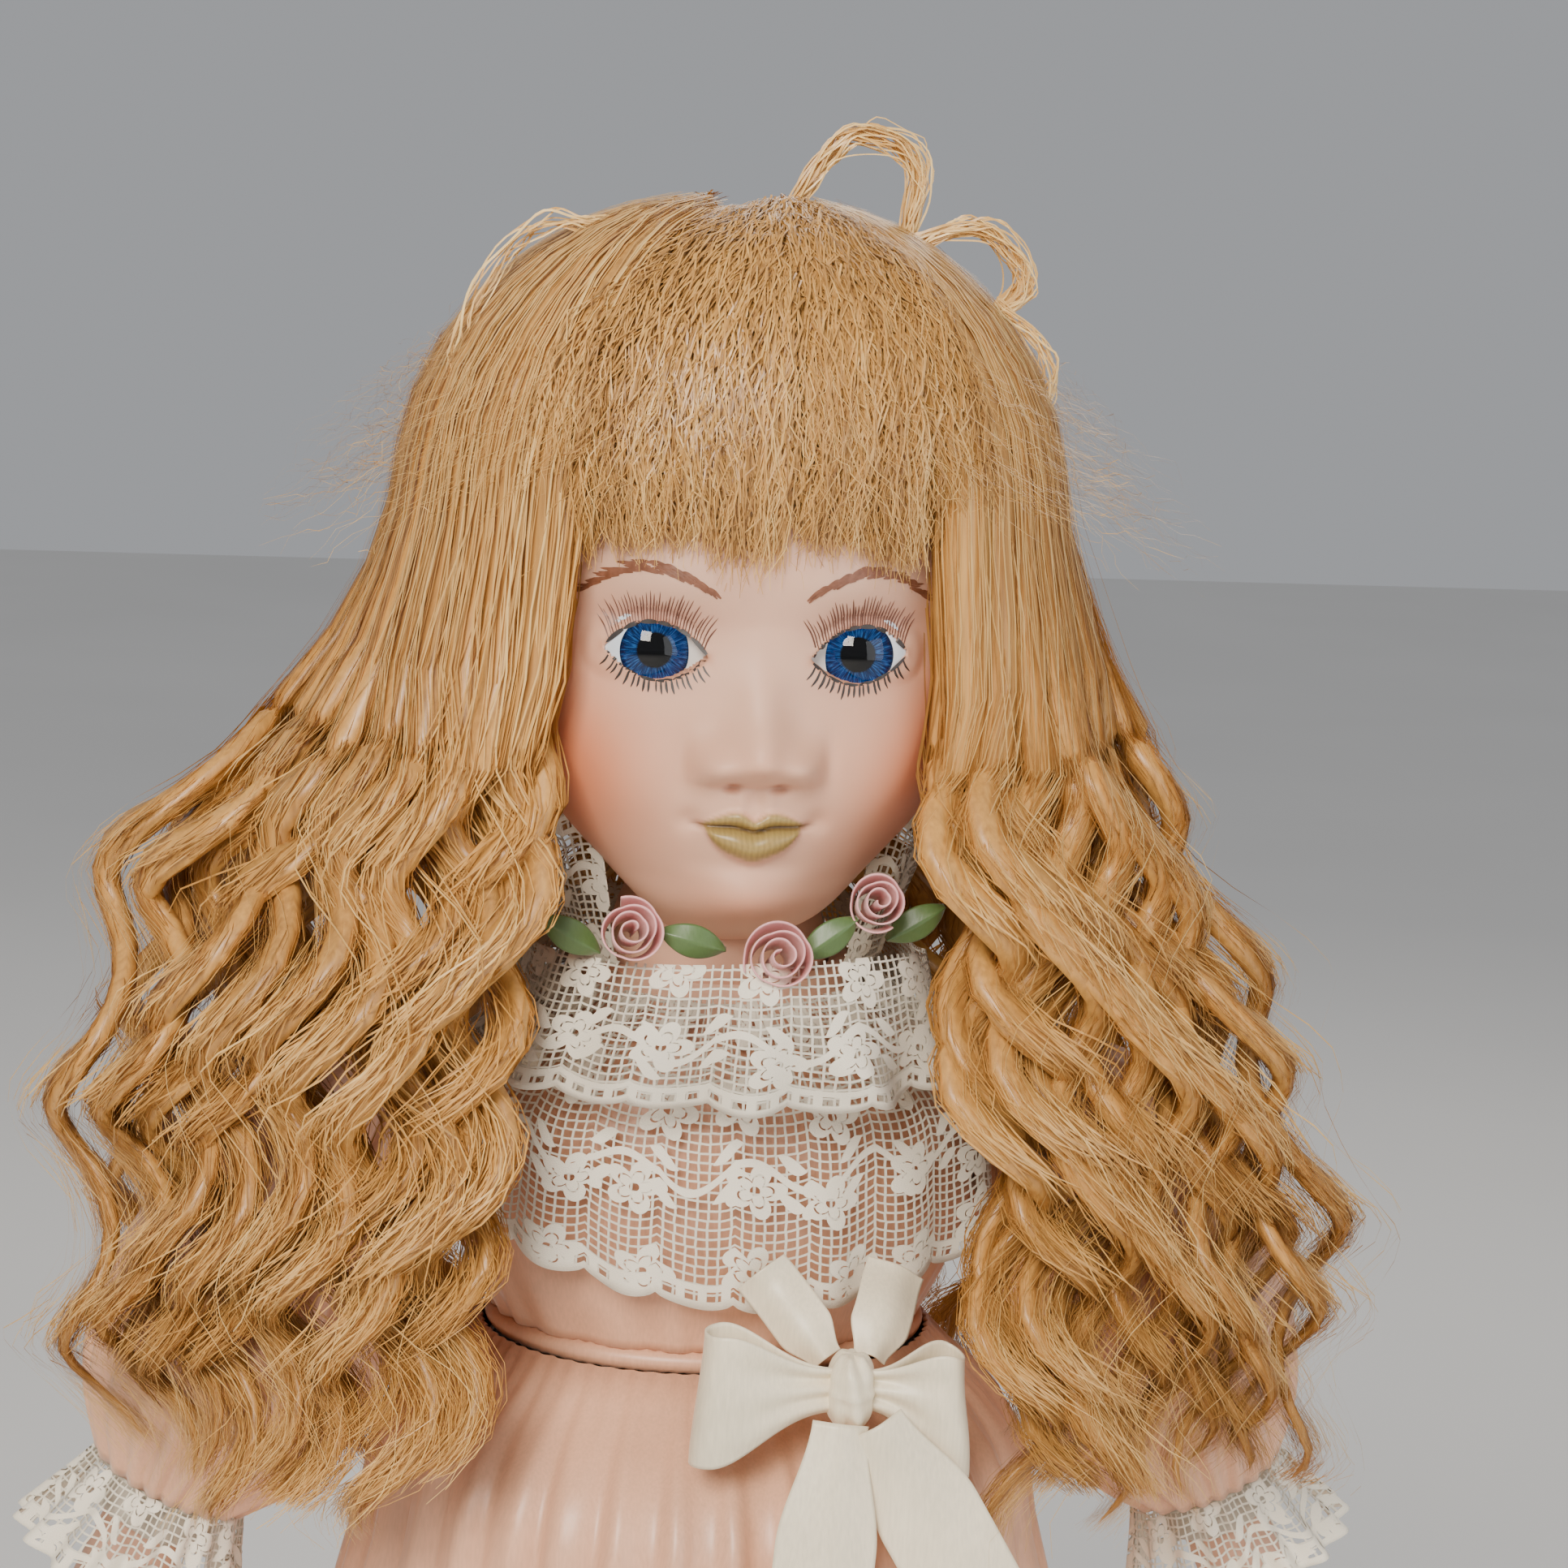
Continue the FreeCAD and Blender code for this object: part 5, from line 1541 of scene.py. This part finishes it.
def make_bow():
    """The satin bow at the waist: two loops, a wrapped knot, two tails and two ends that stand up."""
    cream = material("bow_satin", satin(tuple(dress_settings().cream), 0.3))
    loops = one_piece("bow_soft_loops", [
        cloth("bow_left", 90, 34, bow_loop_place(-1.0, 18.0, 17.5, 1.0)),
        cloth("bow_right", 90, 34, bow_loop_place(1.0, 13.5, 16.0, 3.4)),
    ])
    apply(loops, "SOLIDIFY", thickness=0.3 * MM, offset=0.0, use_even_offset=False)
    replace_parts(loops, "bow_loops")
    deselect()
    bpy.ops.mesh.primitive_uv_sphere_add(segments=72, ring_count=36, radius=1.0)
    knot = bpy.context.object
    knot.name = "bow_wrapped_knot"
    p = points_of(knot)
    turn = np.arctan2(p[:, 0], -p[:, 1])
    crease = 1.0 + 0.05 * np.cos(6.0 * turn + 2.0 * p[:, 2]) + 0.05 * np.cos(2.5 * p[:, 2] + 3.0 * turn)
    waist = 1.0 - 0.10 * np.exp(-((np.abs(p[:, 2]) - 0.2) / 0.2) ** 2)
    p = p * np.array((3.3, 4.4, 5.2)) * (crease * waist)[:, None]
    p[:, 2] = np.clip(p[:, 2], -4.8, 4.8)
    points(knot, p + np.array(KNOT))
    shade_smooth(knot)
    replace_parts(knot, "bow_knot")
    made = []
    for number, (start, end, width, curl) in enumerate(BOW_STRIPS):
        start, end = np.array(start), np.array(end)
        along = unit(end - start)
        side = unit(np.cross(along, (0.0, 1.0, 0.0)))
        face = np.cross(side, along)
        face = face * -np.sign(face[1])

        def place(u, v):
            wave = 1.1 * np.sin(v * TAU * 0.9 + curl) * v + 0.7 * np.cos((u - 0.5) * TAU * 0.8)
            narrow = 0.55 + 0.45 * smooth(v, 0.0, 0.35)
            cut = 3.5 * (np.abs(u - 0.5) * 2.0 - 0.5) * smooth(v, 0.75, 1.0) * (number < 2)
            p = start + (end - start) * v[:, None] + along * cut[:, None]
            p = p + side * ((u - 0.5) * width * narrow + curl * v**2)[:, None]
            return p + face * wave[:, None]

        made.append(cloth(f"bow_strip_{number}", 24, 60, place))
    tails = one_piece("bow_soft_tails", made)
    apply(tails, "SOLIDIFY", thickness=0.3 * MM, offset=0.0, use_even_offset=False)
    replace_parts(tails, "bow_tails")
    for piece in (loops, knot, tails):
        dress_in(piece, cream)
        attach(piece, "torso")


# ---------------------------------------------------------------- dress
BODICE = ((254.0, 29.0, 23.0, 0.5), (262, 33.3, 24.8, 0.5), (272, 35.9, 25.8, 0.5),
    (283, 35.4, 25.2, 1), (290, 30.6, 22.9, 1.5),
          (295, 24.6, 21.3, 2.5))
SKIRT = ((12.0, 104.0), (50.0, 96.0), (100.0, 84.0), (150.0, 69.5), (198.0, 54.0), (222.0, 47.0),
    (243.0, 39.0), (250.6, 30.4))


def make_bodice():
    """The fitted top of the dress, with soft creases above the waist seam."""

    def place(u, v):
        turn = (u - 0.5) * TAU
        z = 295.0 - 41.2 * v
        p = ring(BODICE, turn, z)
        crease = 0.35 * np.cos(24.0 * turn + 1.5 * np.sin(5.0 * turn)) * smooth(v, 0.7, 1.0)
        return p + outwards(p, 1.0) * (crease * (np.cos(turn) > -0.5))[:, None]

    piece = thin_cloth("dress_fitted_bodice", 190, 30, place, 0.5, wrap=True)
    dress_in(piece, material("dress_satin", satin(tuple(dress_settings().satin))))
    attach(piece, "torso")
    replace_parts(piece, "dress_bodice")


def make_piping():
    """The corded seam at the waist."""
    low, high = (np.array(corner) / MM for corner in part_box("waist_piping"))
    half = (high - low) / 2
    deselect()
    bpy.ops.mesh.primitive_torus_add(major_segments=180, minor_segments=14, major_radius=1.0,
        minor_radius=0.05)
    piece = bpy.context.object
    piece.name = "waist_corded_seam"
    p = points_of(piece)
    turn = np.arctan2(p[:, 0], -p[:, 1])
    flat = np.hypot(p[:, 0], p[:, 1])
    minor = half[2]
    tube = (flat - 1.0) / 0.05
    twist = 1.0 + 0.10 * np.cos(90.0 * turn + 2.0 * tube)
    rx = half[0] - minor + tube * minor * twist
    ry = half[1] - minor + tube * minor * twist
    middle = (high + low) / 2
    points(piece, np.stack([
        middle[0] + rx * np.sin(turn), middle[1] - ry * np.cos(turn),
        middle[2] + p[:, 2] / 0.05 * minor * twist
    ], axis=1))
    shade_smooth(piece)
    dress_in(piece, material("dress_satin", satin(tuple(dress_settings().satin))))
    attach(piece, "torso")
    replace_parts(piece, "waist_piping")


def skirt_folds(turn, down):
    """How far a gathered skirt stands out or in: many fine gathers at the waist that join into deep folds."""
    count = dress_settings().skirt_folds
    fine = np.cos(count * 2.0 * turn + 1.2 * np.sin(5.0 * turn))
    deep = np.cos(count * 0.5 * turn + 1.3 * np.sin(3.0 * turn) + 0.8 * down)
    middle = np.cos(count * turn + 2.0 * np.sin(2.0 * turn) + down)
    sharp = 1.0 - 2.0 * np.abs(deep) ** 1.4
    gathers = 0.25 * fine + 1.0 * middle * smooth(down, 0.0, 0.06)
    return gathers * np.exp(-((down / 0.45) ** 2)) + 1.8 * sharp * smooth(down, 0.05, 0.9)


def skirt_cloth(name, top, low, inset, share, grid, wall, make):
    levels = np.array([z for z, _ in SKIRT])
    radii = np.array([r for _, r in SKIRT])

    def place(u, v):
        turn = (u - 0.5) * TAU
        z = top + (low - top) * v
        r = through(levels, radii, z) - inset + share * skirt_folds(turn,
            v) + 0.3 - 1.6 * share * smooth(v, 0.0, 0.25)
        oval = 1.0 - 0.17 * smooth(z, 236.0, 250.0)
        return np.stack([r * np.sin(turn), 0.5 - r * oval * np.cos(turn), z], axis=1)

    piece = thin_cloth(name, *grid, place, wall, wrap=True)
    dress_in(piece, material(name + "_cloth", make))
    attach(piece, "torso")
    return piece


def make_skirts():
    """The satin skirt and the cotton petticoat under it."""
    satin_make = satin(tuple(dress_settings().satin))
    outer = skirt_cloth("dress_gathered_skirt", 251.5, 13.0, 0.0, 1.0, (430, 62), 0.5,
        satin_make)
    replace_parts(outer, "dress_skirt")
    cotton = plain_cloth((0.80, 0.77, 0.72))
    inner = skirt_cloth("cotton_petticoat", 248.0, 15.5, 4.6, 0.55, (250, 36), 0.4,
        cotton)
    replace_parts(inner, "petticoat")


# ---------------------------------------------------------------- underclothes and stuffed parts
def soft_copy(name, nodes, voxel, make, body):
    """A stuffed cloth part: the frame's own solid remeshed and softened."""
    made = []
    for node in nodes:
        only_copy = frame["nodes"][node].copy()
        only_copy.data = frame["nodes"][node].data.copy()
        for key in list(only_copy.keys()):
            del only_copy[key]
        only_copy.parent = None
        bpy.context.collection.objects.link(only_copy)
        made.append(only_copy)
    piece = one_piece(name, made)
    merge_doubles(piece, outwards=False)
    apply(piece, "REMESH", mode="VOXEL", voxel_size=voxel * MM)
    apply(piece, "SMOOTH", factor=0.5, iterations=4)
    shade_smooth(piece)
    dress_in(piece, material(name + "_cloth", make))
    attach(piece, body)
    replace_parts(piece, *nodes)
    return piece


def make_torso_cloth():
    """The stuffed cloth body under the clothes."""
    soft_copy("cloth_body", ["torso_cloth"], 1.6, plain_cloth((0.66, 0.60, 0.50), 900.0), "torso")
    soft_copy("body_stuffing", ["torso_stuffing"], 2.2, plain_cloth((0.72, 0.68, 0.6), 300.0),
        "torso")
    finish_node("shoulder_plate", material("bisque", bisque))
    finish_node("back_snaps", material("steel", metal))


def turned_cloth(name, levels, radii, middle, frame_axes, folds, deep, wall, across, along,
    flatten=1.0):
    """A tube of cloth about an axis, gathered by folds."""
    levels = np.array(levels, float)
    radii = np.array(radii, float)
    right, forward, up = (np.array(axis, float) for axis in frame_axes)
    rising = levels[::-1] if levels[0] > levels[-1] else levels
    rising_radii = radii[::-1] if levels[0] > levels[-1] else radii

    def place(u, v):
        turn = (u - 0.5) * TAU
        z = levels[0] + (levels[-1] - levels[0]) * v
        r = through(rising, rising_radii, z)
        r = r + deep(v) * np.cos(folds * turn + 1.3 * np.sin(3.0 * turn))
        local = (r * np.sin(turn))[:, None] * right - (r * flatten * np.cos(turn))[:, None] * forward + z[:, None] * up
        return np.array(middle) + local

    return thin_cloth(name, across, along, place, wall, wrap=True)


UPRIGHT = ((1, 0, 0), (0, 1, 0), (0, 0, 1))


def make_pantaloons():
    """The cotton seat, which stays with the torso, and a leg for each thigh."""
    cotton = material("pantaloon_cotton", plain_cloth((0.80, 0.77, 0.72)))
    low, high = (np.array(corner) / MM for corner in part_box("pantaloon_seat"))
    middle = (0.0, (low[1] + high[1]) / 2, 0.0)
    half = (high - low) / 2
    piece = turned_cloth(
        "pantaloon_soft_seat", (high[2], 232.0, 212.0, low[2]), (27.9, 29.9, 35.9, half[0] + 0.2),
        middle, UPRIGHT, 26.0,
        lambda v: 0.35 * (1.0 - v) + 0.12, 0.4, 150, 22, 0.72,
    )
    dress_in(piece, cotton)
    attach(piece, "torso")
    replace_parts(piece, "pantaloon_seat")
    for name, side in SIDES.items():
        piece = turned_cloth(
            f"{name}_soft_pantaloon", (13.7, 5.2, -10.0, -60.0, -100.0, -116.0, -120.5, -124.5),
            (14.4, 19.1, 19.6, 18.8, 17.6, 15.4, 14.2, 16.6), (24.0 * side, 0.0, 190.0), UPRIGHT, 17.0,
            lambda v: 0.25 + 0.35 * smooth(v, 0.3, 0.9), 0.4, 110, 48,
        )
        dress_in(piece, cotton)
        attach(piece, f"{name}_leg")
        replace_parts(piece, f"{name}_pantaloon_leg")


def make_legs():
    """Stuffed thighs, bisque legs, ribbed socks and leather shoes."""
    muslin = plain_cloth((0.66, 0.60, 0.50), 900.0)
    sock = plain_cloth((0.80, 0.78, 0.74), 2200.0)
    for name, side in SIDES.items():
        body = f"{name}_leg"
        soft_copy(f"{name}_stuffed_thigh", [f"{name}_thigh_cloth"], 1.5, muslin, body)
        low, high = (np.array(corner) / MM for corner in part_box(f"{name}_sock"))
        middle = (low + high) / 2
        piece = turned_cloth(
            f"{name}_ribbed_sock", (high[2], 52.0, 42.0, 30.0, low[2]), (10.9, 10.6, 9.2, 7.9, 7.6),
            (24.0 * side, middle[1], 0.0), UPRIGHT, 44.0, lambda v: 0.12 + 0.0 * v, 0.4, 176, 14,
        )
        dress_in(piece, material("sock_knit", sock))
        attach(piece, body)
        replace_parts(piece, f"{name}_sock")
        finish_node(f"{name}_bisque_leg", material("bisque", bisque))
        finish_node(f"{name}_leg_binding", material("thread", plain_cloth((0.70, 0.64, 0.52), 2400.0)))
        finish_node(f"{name}_shoe_upper", material("shoe_leather", leather((0.74, 0.70, 0.63))))
        finish_node(f"{name}_shoe_sole", material("sole_leather", leather((0.42, 0.27, 0.15))))


def make_arms():
    """Stuffed upper arms, bisque forearms, puffed sleeves and their lace."""
    muslin = plain_cloth((0.66, 0.60, 0.50), 900.0)
    for name, side in SIDES.items():
        body = f"{name}_arm"
        angle = math.radians(25.0)
        lean = math.sin(angle) * side
        axes = ((math.cos(angle), 0, lean), (0, 1, 0), (-lean, 0, math.cos(angle)))
        shoulder = (50.0 * side, 2.0, 276.0)
        soft_copy(f"{name}_stuffed_arm", [f"{name}_upper_arm_cloth"], 1.2, muslin, body)
        piece = turned_cloth(
            f"{name}_puffed_sleeve", (14.3, 13.4, 9.7, 2.5, -8.0, -22.0, -34.0, -46.0, -53.0),
            (0.6, 5.4, 10.9, 14.3, 15.9, 18.9, 19.4, 15.6, 10.7), shoulder, axes, 22.0,
            lambda v: 0.55 + 0.55 * np.sin(v * math.pi) - 0.5 * np.exp(-((v / 0.08) ** 2)), 0.4,
            200, 44,
        )
        dress_in(piece, material("sleeve_satin", satin(tuple(dress_settings().satin))))
        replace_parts(piece, f"{name}_sleeve")
        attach(piece, body)
        frill = turned_cloth(
            f"{name}_sleeve_frill", (-53.2, -58.0, -62.0, -66.5), (10.9, 12.6, 14.2, 16.0),
            shoulder, axes, 18.0,
            lambda v: 0.2 + 1.0 * v, 0.16, 216, 18,
        )
        dress_in(frill, material("sleeve_lace", lace(14.5, 105.0)))
        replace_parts(frill, f"{name}_sleeve_lace")
        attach(frill, body)
        finish_node(f"{name}_bisque_arm", material("bisque", bisque))
        finish_node(f"{name}_arm_binding", material("thread", plain_cloth((0.70, 0.64, 0.52), 2400.0)))


def finish_hardware():
    """The neck bolt with its wood, washers, spring and nut, and the parts hidden in the head."""
    finish_node("neck_button", material("turned_wood", wood))
    for node in ("neck_bolt", "neck_washers", "neck_spring", "neck_wing_nut"):
        finish_node(node, material("steel", metal))
    finish_node("crown_pate", material("pate_card", plain_cloth((0.50, 0.40, 0.27), 600.0)))
    finish_node("eye_plaster", material("plaster", plain_cloth((0.74, 0.72, 0.68), 500.0)))
    finish_node("wig_cap", material("wig_net", plain_cloth((0.30, 0.19, 0.10), 1300.0)))


# ---------------------------------------------------------------- stage
AIM = Vector((4.0, -30.0, 331.5)) * MM
CAMERA_AWAY = 0.468
CAMERA_AZIMUTH = -7.5
CAMERA_ELEVATION = 10.0
CAMERA_ROLL = 2.4


def area_light(name, place, size, power, colour):
    deselect()
    bpy.ops.object.light_add(type="AREA", location=place)
    lamp = bpy.context.object
    lamp.name = name
    lamp.data.size = size
    lamp.data.energy = power
    lamp.data.color = colour
    lamp.rotation_euler = (AIM - Vector(place)).to_track_quat("-Z", "Y").to_euler()


def make_stage():
    """A pale floor, soft lamps and the camera."""
    deselect()
    bpy.ops.mesh.primitive_plane_add(size=6.0)
    floor = bpy.context.object
    floor.name = "stage_floor"
    dress_in(floor, material("floor_paint", floor_paint))
    world = bpy.data.worlds.new("studio")
    world.use_nodes = True
    world.node_tree.nodes["Background"].inputs[0].default_value = (0.86, 0.88, 0.92, 1.0)
    world.node_tree.nodes["Background"].inputs[1].default_value = 0.42
    bpy.context.scene.world = world
    area_light("key_lamp", (-0.40, -1.0, 0.95), 0.5, 20.0, (1.0, 0.93, 0.84))
    area_light("fill_lamp", (0.8, -0.8, 0.5), 0.9, 5.0, (0.95, 0.97, 1.0))
    area_light("back_lamp", (0.3, 0.9, 0.95), 0.6, 4.0, (1.0, 0.95, 0.88))
    azimuth = math.radians(CAMERA_AZIMUTH)
    elevation = math.radians(CAMERA_ELEVATION)
    away = Vector((
        math.sin(azimuth) * math.cos(elevation), -math.cos(azimuth) * math.cos(elevation),
        math.sin(elevation)
    ))
    deselect()
    bpy.ops.object.camera_add(location=AIM + away * CAMERA_AWAY)
    camera = bpy.context.object
    camera.name = "camera"
    turn = (-away).to_track_quat("-Z", "Y")
    camera.rotation_euler = (turn @ Quaternion((0, 0, 1), math.radians(CAMERA_ROLL))).to_euler()
    camera.data.sensor_width = 36.0
    camera.data.lens = 85.0
    camera.data.clip_start = 0.01
    bpy.context.scene.camera = camera


# ---------------------------------------------------------------- operators
class DOLL_OT_head(bpy.types.Operator):
    """Make the bisque head, its neck and its painted features"""

    bl_idname = "doll.head"
    bl_label = "Head"

    def execute(self, context):
        make_face_paint(make_head())
        make_neck()
        return {"FINISHED"}


class DOLL_OT_eyes(bpy.types.Operator):
    """Finish the glass eyes"""

    bl_idname = "doll.eyes"
    bl_label = "Eyes"

    def execute(self, context):
        finish_eyes()
        return {"FINISHED"}


class DOLL_OT_wig(bpy.types.Operator):
    """Make the wig strand by strand"""

    bl_idname = "doll.wig"
    bl_label = "Wig"

    def execute(self, context):
        make_wig()
        return {"FINISHED"}


class DOLL_OT_lace(bpy.types.Operator):
    """Make the two tiers of the lace collar and its standing ends"""

    bl_idname = "doll.lace"
    bl_label = "Lace collar"

    def execute(self, context):
        make_lower_lace()
        make_upper_lace()
        for name in SIDES:
            make_standing_lace(name)
        return {"FINISHED"}


class DOLL_OT_roses(bpy.types.Operator):
    """Make the ribbon roses and leaves"""

    bl_idname = "doll.roses"
    bl_label = "Roses and leaves"

    def execute(self, context):
        make_roses()
        make_leaves()
        return {"FINISHED"}


class DOLL_OT_bow(bpy.types.Operator):
    """Make the satin bow at the waist"""

    bl_idname = "doll.bow"
    bl_label = "Bow"

    def execute(self, context):
        make_bow()
        return {"FINISHED"}


class DOLL_OT_dress(bpy.types.Operator):
    """Make the bodice, the waist seam, the skirt and the petticoat"""

    bl_idname = "doll.dress"
    bl_label = "Dress"

    def execute(self, context):
        make_bodice()
        make_piping()
        make_skirts()
        return {"FINISHED"}


class DOLL_OT_body(bpy.types.Operator):
    """Make the stuffed body and finish the shoulder plate"""

    bl_idname = "doll.body"
    bl_label = "Body"

    def execute(self, context):
        make_torso_cloth()
        return {"FINISHED"}


class DOLL_OT_arms(bpy.types.Operator):
    """Make the arms, the sleeves and their lace"""

    bl_idname = "doll.arms"
    bl_label = "Arms"

    def execute(self, context):
        make_arms()
        return {"FINISHED"}


class DOLL_OT_legs(bpy.types.Operator):
    """Make the pantaloons, the legs, the socks and the shoes"""

    bl_idname = "doll.legs"
    bl_label = "Legs"

    def execute(self, context):
        make_pantaloons()
        make_legs()
        return {"FINISHED"}


class DOLL_OT_hardware(bpy.types.Operator):
    """Finish the neck bolt and the parts inside the head"""

    bl_idname = "doll.hardware"
    bl_label = "Neck bolt and inner parts"

    def execute(self, context):
        finish_hardware()
        return {"FINISHED"}


class DOLL_OT_stage(bpy.types.Operator):
    """Set the floor, the lamps and the camera"""

    bl_idname = "doll.stage"
    bl_label = "Stage"

    def execute(self, context):
        make_stage()
        return {"FINISHED"}


OPERATORS = (
    DOLL_OT_head, DOLL_OT_eyes, DOLL_OT_wig, DOLL_OT_lace, DOLL_OT_roses, DOLL_OT_bow,
    DOLL_OT_dress, DOLL_OT_body,
    DOLL_OT_arms, DOLL_OT_legs, DOLL_OT_hardware, DOLL_OT_stage,
)


class DOLL_PT_panel(bpy.types.Panel):
    """The doll's settings and the steps that make it"""

    bl_label = "Porcelain doll"
    bl_idname = "DOLL_PT_panel"
    bl_space_type = "VIEW_3D"
    bl_region_type = "UI"
    bl_category = "Doll"

    def draw(self, context):
        for group in (wig_settings(), face_settings(), dress_settings()):
            for name in group.bl_rna.properties.keys():
                if name not in ("rna_type", "name"):
                    self.layout.prop(group, name)
        for operator in OPERATORS:
            self.layout.operator(operator.bl_idname)


SETTINGS = (DollWigSettings, DollFaceSettings, DollDressSettings)


def register():
    for made in (*SETTINGS, *OPERATORS, DOLL_PT_panel):
        bpy.utils.register_class(made)
    bpy.types.Scene.doll_wig = bpy.props.PointerProperty(type=DollWigSettings)
    bpy.types.Scene.doll_face = bpy.props.PointerProperty(type=DollFaceSettings)
    bpy.types.Scene.doll_dress = bpy.props.PointerProperty(type=DollDressSettings)


def unregister():
    del bpy.types.Scene.doll_wig
    del bpy.types.Scene.doll_face
    del bpy.types.Scene.doll_dress
    for made in reversed((*SETTINGS, *OPERATORS, DOLL_PT_panel)):
        bpy.utils.unregister_class(made)


def main():
    register()
    bpy.ops.doll.head()
    bpy.ops.doll.eyes()
    bpy.ops.doll.wig()
    bpy.ops.doll.lace()
    bpy.ops.doll.roses()
    bpy.ops.doll.bow()
    bpy.ops.doll.dress()
    bpy.ops.doll.body()
    bpy.ops.doll.arms()
    bpy.ops.doll.legs()
    bpy.ops.doll.hardware()
    bpy.ops.doll.stage()


if __name__ == "__main__":
    main()
